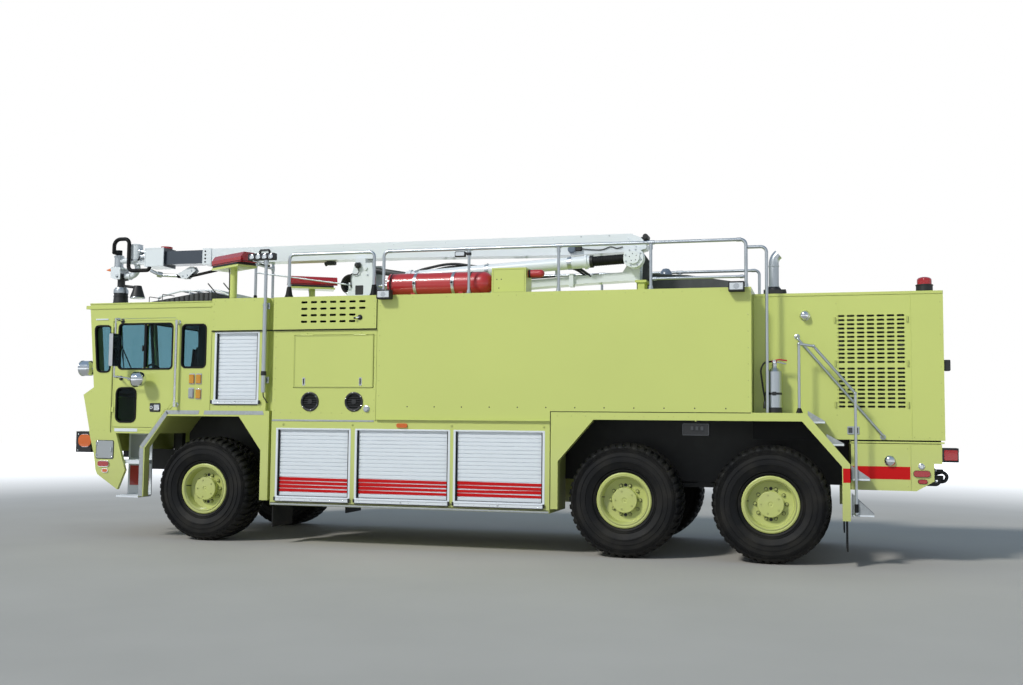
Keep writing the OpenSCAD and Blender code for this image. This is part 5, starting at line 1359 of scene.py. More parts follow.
def upper_boom_fittings():
    """Collar bolts, lamp, roller, camera and handle of the upper boom"""
    made = Shape("steel tube")
    for s in (1, -1):
        made.of("black").bolts([(4.395, s * 0.145, z) for z in row(4.08, 4.245, 4)], (0, s, 0), 0.02, 6)
        made.of("white enamel").box((4.292, 4.302), span(s, 0.145, 0.149), (4.045, 4.288), 0.001)
        made.of("steel tube").bolts([(x, s * 0.135, 4.262) for x in (-1.9, -1.5)], (0, s, 0), 0.016, 6)
    # Lamp and junction box on the near side, with the cable to the swivel
    made.of("blue grey enamel").lathe(
        [(0.052, 0), (0.056, 0.02), (0.056, 0.045), (0.04, 0.06), (0, 0.062)],
        (-1.375, 0.135, 4.085), LEFT, 28)
    made.of("black").box((-1.515, -1.428), (0.135, 0.19), (4.058, 4.13), 0.008)
    made.hose(
        [
            (-1.515, 0.15, 4.09), (-1.62, 0.146, 4.075), (-1.8, 0.144, 4.065), (-1.93, 0.146, 4.115),
            (-2.0, 0.146, 4.075), (-2.09, 0.146, 4.1),
        ], 0.05, 4, 0.007, 8)
    # Rubber roller at the boom's rear between two brackets, with its stay and bolt
    made.lathe(
        [(0.034, -0.11), (0.038, -0.1), (0.038, 0.1), (0.034, 0.11), (0, 0.11)], (-2.395, 0, 4.243), LEFT, 20
    )
    for s in (1, -1):
        made.box((-2.42, -2.33), span(s, 0.04, 0.05), (4.19, 4.245), 0.003)
    made.of("white enamel").tube([(-2.16, 0.14, 4.225), (-2.275, 0.14, 4.095)], 0.01, 8)
    made.of("black").bolts([(-2.19, 0.0, 4.283)], UP, 0.03, 6)
    # Camera under the boom, ahead of the pedestal
    made.box((2.285, 2.42), (-0.05, 0.05), (3.992, 4.046), 0.01)
    made.lathe([(0.03, 0), (0.034, 0.03), (0, 0.032)], (2.42, 0, 4.015), (1, 0, -0.35), 16)
    # Grab handle near the light bar, and the grease points of the slide
    made.hose(
        [
            (3.455, 0.138, 4.185), (3.455, 0.155, 4.235), (3.3, 0.155, 4.235), (3.3, 0.138, 4.185),
        ], 0.015, 3, 0.008, 8)
    made.of("steel tube").bolts([(x, 0.135, 4.245) for x in row(-1.1, 2.9, 6)], LEFT, 0.012, 8)
    made.piece("upper_boom_fittings", "white_paint", "upper_boom")


def boom_head_fittings():
    """Frame, valves, pipes and hoses of the sliding section's head"""
    made = Shape("slate")
    for s in (1, -1):
        wall = on_side(s * 0.17, s)
        made.of("white enamel").band(rounded(5.112, 5.44, 4.036, 4.319, 0.012), 0.014, 0, 0.004, wall, 0.001)
        made.of("steel tube").bolts(
            [(x, s * 0.17, z) for x in (5.125, 5.427) for z in (4.06, 4.178, 4.295)], (0, s, 0), 0.012, 8)
        made.of("black").box((5.098, 5.1058), span(s, 0.06, 0.125), (4.07, 4.26), 0.002)
    made.of("black").band(
        rounded(-0.16, 0.16, 4.045, 4.315, 0.01), 0.02, 0, 0.006,
        Matrix(((0, 0, 1, 5.446), (1, 0, 0, 0), (0, 1, 0, 0), (0, 0, 0, 1))), 0.002)
    # Valves and pipe work between the box and the can
    made.of("steel tube").lathe(
        [(0.05, 0), (0.06, 0.01), (0.06, 0.05), (0.045, 0.06), (0.045, 0.11), (0, 0.11)],
        (5.446, 0.075, 4.2), AHEAD, 24)
    made.lathe(
        [(0.03, 0), (0.03, 0.14), (0.04, 0.145), (0.04, 0.17), (0, 0.17)], (5.446, 0.04, 4.27),
        (1, 0.1, 0.15), 16)
    made.of("black")
    for path in (
        [(5.45, 0.02, 4.25), (5.53, 0.03, 4.31), (5.57, 0.09, 4.22), (5.61, 0.09, 4.15)],
        [(5.45, -0.06, 4.25), (5.52, -0.08, 4.34), (5.6, -0.09, 4.26), (5.62, -0.09, 4.16)],
    ):
        made.hose(path, 0.04, 5, 0.012, 10)
    can, column = 5.706, 6.019
    made.of("white enamel").lathe(
        [(0.092, 0), (0.099, 0.004), (0.099, 0.014), (0.06, 0.026), (0.03, 0.03), (0, 0.03)],
        (can, 0, 4.39), UP, 36)
    made.of("steel tube").bolts(circle("z", (can, 0, 4.404), 0.078, row(0, 5.2, 6)), UP, 0.014, 6)
    made.collar(0.098, 0.103, 0.012, (can, 0, 4.16), UP, 36)
    # Flanges of the C bend and the column
    for x, z in ((5.8, 4.16), (5.8, 3.912)):
        made.of("white enamel").collar(0.044, 0.058, 0.012, (x, 0, z), AHEAD, 28, 0)
    for z in (4.055, 4.225):
        made.of("steel tube").collar(0.068, 0.078, 0.01, (column, 0, z), UP, 36, 0)
        made.bolts(circle("z", (column, 0, z), 0.0785, row(0.5, 5.7, 6)), UP, 0.012, 8)
    made.of("black").lathe(
        [(0.038, -0.006), (0.0485, -0.004), (0.0485, 0.01), (0.037, 0.012), (0.038, -0.006)],
        (6.125, 0, 4.02), AHEAD, 28)
    # Silver pipe and its swivel under the box, back to the plate
    made.of("steel tube").hose(
        [
            (5.345, 0.137, 3.972), (5.26, 0.12, 3.93), (5.2, 0.08, 3.905), (4.93, 0.05, 3.89),
        ], 0.05, 5, 0.026, 14)
    made.collar(0.032, 0.045, 0.04, (5.215, 0.092, 3.911), (1, 0.5, 0.2), 20, 0.005)
    plate = [(4.93, 3.925), (4.86, 3.848), (4.77, 3.846), (4.62, 3.965), (4.66, 4.03), (4.72, 4.03)]
    made.of("white enamel")
    for y in (0.03, -0.05):
        made.slab(plate, -0.012, 0.012, on_side(y), 0.002)
    made.of("steel tube").bolts(
        [(4.84, 0.042, 3.885), (4.76, 0.042, 3.9), (4.69, 0.042, 3.96)], LEFT, 0.018, 6)
    made.of("black rubber")
    hose = [(4.95, 0, 3.885), (4.85, 0, 3.872), (4.66, 0, 3.895), (4.28, 0, 3.965), (4.18, 0, 3.99)]
    made.hose(hose, 0.08, 5, 0.022, 12)
    hose = [
        (4.95, -0.05, 3.9), (4.83, -0.09, 3.888), (4.62, -0.09, 3.93), (4.3, -0.07, 3.985),
        (4.18, -0.06, 3.99),
    ]
    made.hose(hose, 0.08, 5, 0.014, 10)
    made.piece("boom_head_fittings", "white_paint", "boom_inner")


def nozzle_fittings():
    """Dome, grip rings and lamp lens of the nozzle"""
    made = Shape("steel tube")
    x, z = 5.965, 3.905
    made.lathe(
        [(0.058, 0), (0.108, 0.022), (0.1135, 0.05), (0.1125, 0.085), (0.092, 0.09), (0.06, 0.09)],
        (x, 0, z - 0.178), DOWN, 40)
    made.of("black").lathe(
        [(0.105, 0), (0.113, 0.006), (0.113, 0.026), (0.107, 0.032), (0.105, 0)],
        (x, 0, z - 0.3), DOWN, 40)
    made.lathe(
        [(0.112, 0), (0.1195, 0.006), (0.1195, 0.03), (0.112, 0.036), (0.112, 0)],
        (x, 0, z - 0.41), DOWN, 40)
    made.of("dark grey").lathe(
        [(0.105, 0), (0.1, 0.002), (0.07, -0.006), (0, -0.01)], (x, 0, z - 0.4553), DOWN, 40)
    made.of("clear lens").lathe([(0.108, 0), (0.1, 0.003), (0, 0.008)], (x - 0.302, 0, z - 0.3402), DOWN, 36)
    made.of("steel tube").lathe(
        [(0.116, 0), (0.1185, 0.006), (0.112, 0.014), (0.108, 0.006), (0.116, 0)],
        (x - 0.302, 0, z - 0.334), DOWN, 36)
    for s in (1, -1):
        made.bolts([(x, s * 0.1305, z)], (0, s, 0), 0.03, 6)
    made.piece("nozzle_fittings", "chassis_black", "nozzle")


def lower_boom_fittings():
    """Clamps of the water pipe, its ribbed hose and the hydraulic hoses"""
    made = Shape("steel tube")
    a, b = Vector((1.05, 0.225, 3.745)), Vector((-1.65, 0.225, 3.895))
    way = (b - a).normalized()
    for x in (0.88, -0.17, -1.37):
        spot = a + way * (1.05 - x)
        made.collar(0.085, 0.09, 0.03, spot, way, 40)
        made.bolts([tuple(spot + Vector((0, 0.0, 0.09)))], UP, 0.02, 6)
    for x in (0.98, -1.6):
        spot = a + way * (1.05 - x)
        made.of("white enamel").collar(0.085, 0.102, 0.018, spot, way, 40, 0)
    made.of("black").collar(0.068, 0.0865, 0.02, (-1.672, 0.225, 3.896), way, 36, 0)
    made.of("black rubber").tube(
        [(-1.7, 0.225, 3.8965), (-2.105, 0.225, 3.9175)], 0.071, 24, ribs=(0.034, 0.008))
    long_hose = [
        (1.38, 3.54), (1.22, 3.66), (0.97, 3.85), (0.42, 3.955), (0.0, 3.88), (-0.41, 3.863), (-0.72, 3.846),
        (-1.12, 3.885), (-1.42, 3.86), (-1.64, 3.7),
    ]
    inner_hose = [
        (1.36, 3.53), (1.2, 3.64), (0.9, 3.81), (0.4, 3.92), (0.0, 3.86), (-0.5, 3.835), (-1.1, 3.85),
        (-1.4, 3.83), (-1.58, 3.7),
    ]
    low_hose = [(1.15, 3.56), (0.9, 3.64), (0.55, 3.68), (0.1, 3.71), (-0.45, 3.68), (-1.2, 3.715)]
    far_hose = [(1.15, 3.58), (0.8, 3.69), (0.2, 3.71), (-0.6, 3.68), (-1.3, 3.72), (-1.7, 3.76)]
    made.of("black")
    for y, r, points in (
        (0.104, 0.019, long_hose), (0.085, 0.015, inner_hose), (0.137, 0.013, low_hose),
        (-0.137, 0.017, far_hose),
    ):
        made.hose([(x, y, z) for x, z in points], 0.2, 6, r, 10)
    for x in (0.55, -0.45, -1.15):
        made.of("steel tube").box(near(x, 0.014), (0.118, 0.158), (3.7, 3.83), 0.003)
    x, z = KNUCKLE
    made.of("steel tube").bolts(circle("y", (x, -0.12, z), 0.062, (1.2, 2.6, 4.0)), (0, -1, 0), 0.014, 6)
    made.piece("lower_boom_fittings", "white_paint", "lower_boom")


def swivel_fittings():
    """Flanges and bolts of the knuckle's swivel"""
    made = Shape("white enamel")
    x, z = KNUCKLE
    hub = look((x, 0.143, z), LEFT)
    made.turned([(0.138, 0.03), (0.143, 0.032), (0.143, 0.052), (0.138, 0.054), (0.138, 0.03)], hub, 56)
    made.turned([(0.138, 0.112), (0.1425, 0.114), (0.1425, 0.132), (0.138, 0.134), (0.138, 0.112)], hub, 56)
    made.of("steel tube").bolts(circle("y", (x, 0.3, z), 0.112, row(0.3, 5.8, 8)), LEFT, 0.018, 6)
    made.of("black").bolts(circle("y", (x, 0.326, z), 0.05, row(0.2, 5.2, 5)), LEFT, 0.014, 8)
    made.piece("swivel_fittings", "white_paint", "boom_knuckle")


def pedestal_fittings():
    """Ring bolts, cover plate, hose ends, valve and wires of the pedestal"""
    made = Shape("steel tube")
    made.bolts(circle("z", (1.76, 0, 3.4), 0.295, row(0, 6.0, 20)), UP, 0.026, 6)
    for s in (1, -1):
        made.of("black").slab(rounded(1.745, 1.872, 3.512, 3.65, 0.01), 0, 0.003, on_side(s * 0.19, s), 0.001)
        made.of("steel tube").bolts(
            [(x, s * 0.19, z) for x, z in ((1.62, 3.46), (1.95, 3.46), (1.68, 3.8), (1.83, 3.8))],
            (0, s, 0), 0.02, 6)
    for i in range(4):
        y = -0.105 + 0.07 * i
        for x, z in ((1.992, 3.55), (1.9, 3.81)):
            made.lathe(
                [(0.027, 0), (0.027, 0.03), (0.0235, 0.034), (0.0235, 0.05), (0, 0.05)], (x, y, z), AHEAD, 16
            )
            made.lathe([(0.033, 0), (0.033, 0.014), (0, 0.014)], (x, y, z), AHEAD, 6)
    made.of("black").box((1.785, 1.865), (0.192, 0.235), (3.905, 3.985), 0.01)
    made.lathe([(0.034, 0), (0.034, 0.03), (0.02, 0.04), (0, 0.04)], (1.825, 0.235, 3.945), LEFT, 20)
    made.hose(
        [
            (1.83, 0.21, 3.91), (1.8, 0.215, 3.84), (1.86, 0.215, 3.8), (1.93, 0.212, 3.83),
            (1.95, 0.205, 3.76), (1.93, 0.2, 3.62),
        ], 0.03, 4, 0.007, 8)
    made.box((-2.418, -2.268), (-0.158, 0.158), (3.6002, 3.63), 0.003)
    made.piece("pedestal_fittings", "white_paint")


def boom_rest():
    """Two posts in boots, a padded crossbar and a stay back to the pedestal"""
    made = Shape("steel tube")
    x = 3.455
    for y in (0.27, -0.27):
        made.tube([(x, y, 3.316), (x, y, 4.1)], 0.021, 16)
        made.of("black rubber").lathe(
            [(0.032, 0), (0.031, 0.05), (0.027, 0.2), (0.0215, 0.215), (0, 0.215)],
            (x, y, 3.316), UP, 20)
        made.of("steel tube").collar(0.021, 0.027, 0.04, (x, y, 4.0), UP, 20, 0.003)
    made.tube([(x, -0.27, 4.0), (x, 0.27, 4.0)], 0.018, 14)
    made.of("black rubber").box(near(x, 0.03), (-0.13, 0.13), (4.012, 4.04), 0.008)
    made.of("steel tube").tube([(x, 0.27, 3.872), (1.985, 0.27, 3.66), (1.95, 0.2, 3.655)], 0.011, 10)
    made.piece("boom_rest", "aluminium")


class TRUCK_OT_boom_fittings(bpy.types.Operator):
    """Collar bolts, hoses, brackets, clamps and lamps of the folding boom"""

    bl_idname = "truck.boom_fittings"
    bl_label = "Boom fittings"

    def execute(self, context):
        upper_boom_fittings()
        boom_head_fittings()
        nozzle_fittings()
        lower_boom_fittings()
        swivel_fittings()
        pedestal_fittings()
        boom_rest()
        return {"FINISHED"}


def rear_fittings(side, s, bolt):
    """Seams, catches, hinges and lamps of the engine housing and the skirt"""
    wall = on_side(s * HOUSING, s)
    out = (0, s, 0)
    made = Shape("lime")
    # Seams and edge strips of the housing
    made.box((-6.12, -3.915), (3.252, 3.286), (0, 0.01), 0.003, wall)
    made.box((-4.925, -4.915), (1.86, 3.245), (0, 0.004), 0.001, wall)
    made.box((-5.76, -5.752), (1.52, 3.245), (0, 0.004), 0.001, wall)
    made.box((-6.115, -5.06), (1.462, 1.482), (0, 0.008), 0.002, wall)
    # Black sheet on the housing where the arch shows it: painted shade under the deck
    made.of("seal").slab([(-3.902, 1.495), (-3.902, 1.76), (-4.5, 1.76), (-4.8, 1.495)], 0.0003, 0.004, wall)
    # Bolts in the darkened lime: painted shade
    made.of("lime painted shade").bolts([(x, s * HOUSING, 3.268) for x in row(-6.0, -4.1, 11)], out, bolt * 0.6, 8)
    made.bolts([(x, s * HOUSING, z) for x in (-4.9, -6.09) for z in row(1.6, 3.15, 9)], out, bolt * 0.6, 8)
    made.bolts([(x, s * HOUSING, 1.535) for x in row(-5.95, -5.1, 6)], out, bolt * 0.6, 8)
    # Grey latch plate by the stair, and the black catches between the grilles
    made.of("steel tube").slab(rounded(-5.155, -5.016, 1.562, 1.66, 0.01), 0, 0.01, wall, 0.003)
    for x in (-5.052, -5.118):
        made.of("dark grey").slab(rounded(*near(x, 0.024), 1.578, 1.644, 0.006), 0.01, 0.014, wall, 0.002)
    for x, z in ((-4.954, 2.641), (-5.644, 2.641)):
        made.of("black").slab(rounded_at(x, z, 0.03, 0.011, 0.01), 0.0, 0.01, wall, 0.002)
    for x in (-4.885, -5.72):
        for z in (2.95, 2.42, 1.92):
            # Hinges in the darkened lime: painted shade
            made.of("lime painted shade").lathe(
                [(0.012, -0.035), (0.012, 0.035), (0, 0.036)], (x, s * (HOUSING + 0.008), z), UP, 12)
    # Bezels of the dome lamp, the round lamp, the ovals and the corner's hole
    made.of("chrome")
    if s > 0:
        made.lathe(
            [(0.062, 0), (0.062, 0.008), (0.05, 0.02), (0.048, 0.006), (0.062, 0)],
            (-4.531, HOUSING, 3.009), out, 32)
        made.lathe(
            [(0.05, 0.0), (0.053, 0.004), (0.046, 0.03), (0.02, 0.045), (0, 0.047)],
            (-4.531, HOUSING + 0.053, 3.009), out, 28)
        made.lathe(
            [(0.064, 0), (0.064, 0.01), (0.0505, 0.024), (0.0505, 0.004), (0.064, 0)],
            (-5.5, HOUSING, 1.253), out, 32)
        made.lathe(
            [(0.0505, 0.05), (0.044, 0.056), (0.02, 0.062), (0, 0.063)], (-5.5, HOUSING, 1.253), out, 28)
    for x, z, a, b in ((-5.858, 1.105, 0.092, 0.034), (-5.866, 1.013, 0.05, 0.022)):
        made.of("seal").band(
            rounded_at(x, z, a + 0.005, b + 0.005, b * 0.95 + 0.003), 0.006, 0, 0.01, wall, 0.001)
    corner = (-5.854, s * HOUSING, 1.193)
    made.of("chrome").lathe(
        [(0.036, 0), (0.036, 0.01), (0.026, 0.014), (0.024, 0.004), (0.036, 0)], corner, out, 24)
    made.of("clear lens").lathe([(0.025, 0), (0.022, 0.008), (0, 0.01)], corner, out, 24)
    # Black housings of the tail lamps, open at the lens
    for low, high in ((1.4003, 1.412), (1.246, 1.2577)):
        made.of("black").box((-6.2705, -6.092), (low, high), (-0.268, 0.002), 0.003, wall)
    made.slab(rounded(-6.2705, -6.089, 1.246, 1.412, 0.01), -0.004, 0.002, wall, 0.001)
    made.of("red lens").slab(rounded(-6.258, -6.108, 1.268, 1.39, 0.012), 0.002, 0.008, wall, 0.004)
    made.piece(f"rear_fittings_{side}", "lime_paint")


def skirt_trims(side, s, bolt):
    """Red film on the skirt and the fender's post, and the skirt's edges"""
    wall = on_side(s * HOUSING, s)
    out = (0, s, 0)
    made = Shape("stripe")
    made.box((-5.732, -5.05), (1.034, 1.185), (0, 0.0015), 0, wall)
    made.box((-5.039, -4.957), (0.998, 1.165), (0.0002, 0.0015), 0, on_side(s * SIDE, s))
    made.piece(f"skirt_stripe_{side}", "red_paint")
    made = Shape("lime")
    made.box((-5.739, -5.729), (0.905, 1.45), (0, 0.006), 0.002, wall)
    # Bolts in the darkened lime: painted shade
    made.of("lime painted shade").bolts(
        [(x, s * HOUSING, z) for x in (-5.7, -5.09) for z in (0.95, 1.4)], out, bolt * 0.7, 8)
    made.of("seal").box((-5.055, -5.043), (0.905, 1.45), (0, 0.004), 0.001, wall)
    made.piece(f"skirt_trim_{side}", "lime_paint")


def step_grip(side, s):
    """Grip bars of the cab's steps, and the two panels behind them"""
    made = Shape("anodised")
    for z in (0.593, 1.0834):
        for k in range(5):
            y0 = s * (1.235 + 0.05 * k)
            made.box((4.53, 4.86), sorted(near(y0, 0.01)), (z, z + 0.004), 0.001)
    made.of("red enamel").box((4.555, 4.865), span(s, 1.2153, 1.219), (0.72, 1.0), 0.002)
    made.of("grey enamel").box((4.555, 4.865), span(s, 1.2153, 1.219), (1.11, 1.44), 0.002)
    made.piece(f"step_grip_{side}", "aluminium")


def stair_hand_rail():
    """Hand rail on the housing, inside the stair"""
    made = Shape("steel tube")
    made.hose(
        [
            (-4.437, 1.171, 2.75), (-4.437, 1.232, 2.735), (-5.424, 1.232, 1.55), (-5.424, 1.171, 1.535),
        ], 0.04, 6, 0.016, 14)
    for x, z in ((-4.437, 2.75), (-5.424, 1.535)):
        made.lathe(
            [(0.034, 0), (0.034, 0.005), (0.02, 0.01), (0.0175, 0.02), (0, 0.02)], (x, HOUSING, z), LEFT, 20)
    made.piece("stair_hand_rail", "aluminium")


def stair_grip():
    """Grip studs and bright edges of the stair's treads"""
    made = Shape("anodised")
    for x, z, l, end in (
        (-4.56, 1.69, 0.2, 1.403), (-4.775, 1.425, 0.2, 1.403), (-5.058, 1.022, 0.205, 1.465),
        (-5.058, 0.6, 0.25, 1.465)
    ):
        made.of("anodised").box(
            (x - l + 0.004, x - 0.004), (end - 0.004, end + 0.0005), (z + 0.003, z + 0.023), 0.001)
        for k in range(5):
            for m in range(4):
                spot = (
                    x - l + 0.03 + (l - 0.06) * k / 4, HOUSING + 0.04 + (end - HOUSING - 0.08) * m / 3,
                    z + 0.026)
                made.of("galvanised").lathe([(0.01, 0), (0.007, 0.003), (0, 0.003)], spot, UP, 8)
    made.piece("stair_grip", "aluminium")


def beacon_fittings():
    """Ring and cap of the beacon, and the rear work lamp"""
    made = Shape("black")
    x, y = -5.94, 0.9
    made.lathe(
        [(0.098, 0), (0.104, 0.003), (0.104, 0.012), (0.09, 0.016), (0.086, 0.016), (0.098, 0)],
        (x, y, 3.376), UP, 36)
    made.of("red lens").lathe(
        [(0.086, 0), (0.084, 0.018), (0.07, 0.034), (0.04, 0.044), (0, 0.047)], (x, y, 3.438), UP, 36)
    # Work lamp on the rear wall
    made.of("black").band(
        rounded(1.002, 1.128, 2.332, 2.458, 0.02), 0.014, 0, 0.006,
        Matrix(((0, 0, -1, -6.195), (1, 0, 0, 0), (0, 1, 0, 0), (0, 0, 0, 1))), 0.002)
    made.piece("beacon_fittings", "lamp_coloured")


def stack_fittings():
    """Clamps, foot and cut end of the exhaust stack"""
    made = Shape("steel tube")
    x, y = -4.155, 0.95
    for z in (3.4, 3.66):
        made.collar(0.062, 0.067, 0.01, (x, y, z), UP, 36)
        made.bolts([(x, y + 0.07, z)], LEFT, 0.02, 6)
    turn = radians(50)
    end = (x - 0.15 + 0.15 * cos(turn), y, 3.69 + 0.15 * sin(turn))
    way = (-sin(turn), 0, cos(turn))
    made.of("black").lathe([(0.054, 0.001), (0.05, 0.003), (0, 0.0015)], end, way, 32)
    made.of("steel tube").lathe(
        [(0.054, 0.0), (0.0635, 0.0), (0.0635, 0.006), (0.054, 0.006), (0.054, 0.0)], end, way, 36)
    made.of("black").lathe(
        [(0.075, 0), (0.095, 0.0), (0.09, 0.02), (0.066, 0.05), (0.0625, 0.05), (0.075, 0)],
        (x, y, 3.348), UP, 32)
    made.piece("stack_fittings", "aluminium")


def extinguisher_fittings():
    """Rings, strap, neck, lever, gauge and hose of the hand extinguisher"""
    made = Shape("black")
    cx, cy = -4.172, 1.362
    made.lathe(
        [(0.084, 0), (0.089, 0.002), (0.089, 0.062), (0.084, 0.066), (0.084, 0)], (cx, cy, 1.8125), UP, 40)
    made.collar(0.084, 0.0885, 0.014, (cx, cy, 2.045), UP, 40)
    made.box(near(cx, 0.024), (cy + 0.084, cy + 0.1), (2.022, 2.068), 0.005)
    made.box((cx + 0.085, cx + 0.115), near(cy, 0.03), (2.02, 2.07), 0.005)
    made.of("chrome").lathe(
        [(0.031, 0), (0.036, 0.004), (0.036, 0.022), (0.031, 0.026), (0.031, 0)], (cx, cy, 2.38), UP, 24)
    made.of("red enamel").box((cx - 0.03, cx + 0.034), near(cy, 0.018), (2.4225, 2.452), 0.006)
    made.hose([(cx + 0.01, cy, 2.445), (cx - 0.05, cy, 2.462), (cx - 0.15, cy, 2.446)], 0.03, 4, 0.009, 10)
    made.of("chrome").hose(
        [(cx + 0.01, cy, 2.43), (cx - 0.06, cy, 2.428), (cx - 0.14, cy, 2.405)], 0.03, 4, 0.008, 10)
    made.lathe([(0.02, 0), (0.02, 0.012), (0, 0.014)], (cx, cy + 0.018, 2.437), LEFT, 20)
    made.of("black rubber").hose(
        [
            (cx + 0.03, cy, 2.437), (cx + 0.12, cy + 0.02, 2.43), (cx + 0.165, cy + 0.04, 2.34),
            (cx + 0.14, cy + 0.05, 2.15), (cx + 0.115, cy + 0.05, 1.99), (cx + 0.112, cy + 0.045, 1.93),
        ], 0.06, 6, 0.011, 10)
    made.of("black").lathe(
        [(0.012, 0), (0.018, 0.01), (0.024, 0.08), (0.02, 0.09), (0, 0.088)],
        (cx + 0.112, cy + 0.045, 1.955), DOWN, 16)
    made.piece("extinguisher_fittings", "aluminium")


def stair_rail_boots():
    """Boots at the post and the foot of the stair's rail"""
    made = Shape("black rubber")
    made.lathe(
        [(0.04, 0), (0.038, 0.01), (0.024, 0.05), (0.018, 0.06), (0, 0.06)], (-4.464, 1.491, 1.812), UP, 20)
    made.collar(0.0175, 0.024, 0.05, (-5.105, 1.491, 0.7), UP, 20, 0.005)
    made.of("steel tube").lathe(
        [(0.03, 0), (0.03, 0.012), (0.02, 0.02), (0, 0.02)], (-5.105, 1.463, 0.64), LEFT, 16)
    made.piece("stair_rail_boots", "rubber")


def grille_shade_sheets():
    """Black sheets and dark bars behind the grilles, painted shade inside the housing, and the dark joint over
    the skirt
    """
    made = Shape("black")
    for s in (1, -1):
        # Black sheet and dark bars behind the side grilles: painted shade inside the housing
        made.of("black").box((-5.71, -4.88), span(s, 1.1, 1.106), (1.85, 3.05), 0.001)
        for x in row(-5.65, -4.95, 8):
            made.of("dark grey").box(near(x, 0.02), span(s, 1.106, 1.122), (1.86, 3.04), 0.004)
        made.of("seal").box((-6.08, -5.06), span(s, 1.13, 1.15), (1.4553, 1.4997), 0.001)
    # Black sheet behind the rear grille: painted shade inside the housing
    made.of("black").box((-6.07, -6.062), (-0.72, 0.72), (1.78, 2.75), 0.001)
    made.of("seal").box((-6.08, -6.06), (-1.13, 1.13), (1.4553, 1.4997), 0.001)
    made.piece("grille_shade_sheets")


def pintle():
    """Towing hook at the rear"""
    made = Shape("black")
    made.box((-6.1, -6.07), (-0.13, 0.13), (0.93, 1.14), 0.01)
    made.box((-6.07, -5.955), (-0.06, 0.06), (0.98, 1.09), 0.01)
    made.hose(
        [
            (-6.1, 0, 1.06), (-6.2, 0, 1.09), (-6.255, 0, 1.04), (-6.23, 0, 0.97), (-6.16, 0, 0.96),
        ], 0.05, 6, 0.022, 14)
    made.of("steel tube").bolts([(-6.1, y, z) for y in (-0.1, 0.1) for z in (0.96, 1.11)], BACK, 0.03, 6)
    made.piece("pintle")


class TRUCK_OT_rear_fittings(bpy.types.Operator):
    """Trim, lamps' bezels and latches of the engine housing, the skirt, the stair and the steps"""

    bl_idname = "truck.rear_fittings"
    bl_label = "Rear fittings"

    def execute(self, context):
        for side, s in SIDES:
            rear_fittings(side, s, context.scene.truck_sizes.bolt)
            skirt_trims(side, s, context.scene.truck_sizes.bolt)
            step_grip(side, s)
        stair_hand_rail()
        stair_grip()
        beacon_fittings()
        stack_fittings()
        extinguisher_fittings()
        stair_rail_boots()
        grille_shade_sheets()
        pintle()
        return {"FINISHED"}


def mast_lamps(x0, y0):
    """Four pairs of lamps along the mast's head, its end caps and handle"""
    made = Shape("steel tube")
    for x in (2.495, 2.59, 2.685, 2.78):
        for s in (1, -1):
            face = look((x, y0 + s * 0.045, 3.895), (0, s, 0))
            made.of("chrome").turned(
                [(0.032, 0), (0.036, 0.004), (0.036, 0.01), (0.03, 0.012), (0.032, 0)], face, 24)
            made.of("clear lens").turned([(0.03, 0.002), (0.026, 0.007), (0, 0.01)], face, 24)
            made.of("black").box(
                (x - 0.006 + 0.0475, x + 0.006 + 0.0475), sorted((y0 + s * 0.045, y0 + s * 0.052)),
                (3.855, 3.935), 0.002)
    for x in (2.4525, 2.8335):
        made.of("black").box(near(x, 0.006), near(y0, 0.046), (3.848, 3.942), 0.003)
    made.hose(
        [(2.545, y0, 3.94), (2.545, y0, 3.985), (2.69, y0, 3.985), (2.69, y0, 3.94)], 0.02, 4, 0.009, 10)
    made.of("steel tube").lathe(
        [(0.022, 0), (0.03, 0.004), (0.034, 0.05), (0.034, 0.07), (0, 0.07)], (x0, y0, 3.778), UP, 24)
    made.tube([(x0 + 0.028, y0, 3.8), (x0 + 0.2, y0, 3.848)], 0.012, 10)
    made.piece("mast_lamps", "aluminium", "light_mast")


def mast_clamps(x0, y0):
    """Clamps and cable of the mast"""
    made = Shape("black")
    made.collar(0.03, 0.038, 0.03, (x0, y0, 2.3), UP, 24, 0.004)
    made.of("steel tube").collar(0.03, 0.035, 0.012, (x0, y0, 3.238), UP, 24)
    for z, y in ((2.21, SIDE), (3.22, LEDGE)):
        made.of("steel tube").box(near(x0, 0.05), (y + 0.0005, y + 0.01), near(z, 0.045), 0.004)
        made.of("chrome").bolts(
            [(x0 + k * 0.036, y + 0.01, z + m * 0.03) for k in (-1, 1) for m in (-1, 1)], LEFT, 0.014, 6)
    made.of("black").hose(
        [
            (x0, y0, 2.04), (x0, y0, 1.99), (x0 - 0.03, y0 - 0.03, 1.93), (x0 - 0.04, SIDE + 0.01, 1.9),
        ], 0.04, 4, 0.008, 8)
    made.piece("mast_clamps", "aluminium")


def spot_lamp(side, s):
    """Bezel, lens and bowl of a spot lamp"""
    made = Shape("chrome")
    y, z = s * 1.44, 2.385
    face = look((5.54, y, z), AHEAD)
    made.turned(
        [(0.098, -0.004), (0.112, -0.002), (0.113, 0.012), (0.1, 0.02), (0.096, 0.008), (0.098, -0.004)],
        face, 48)
    made.of("clear lens").turned([(0.098, 0.002), (0.085, 0.016), (0.05, 0.024), (0, 0.027)], face, 40)
    made.of("chrome").lathe([(0.107, 0), (0.098, 0.016), (0.07, 0.032), (0, 0.044)], (5.412, y, z), BACK, 40)
    made.bolts([(5.36, s * 1.456, z)], (0, s, 0), 0.02, 6)
    made.piece(f"spot_lamp_{side}", "lamp_clear")


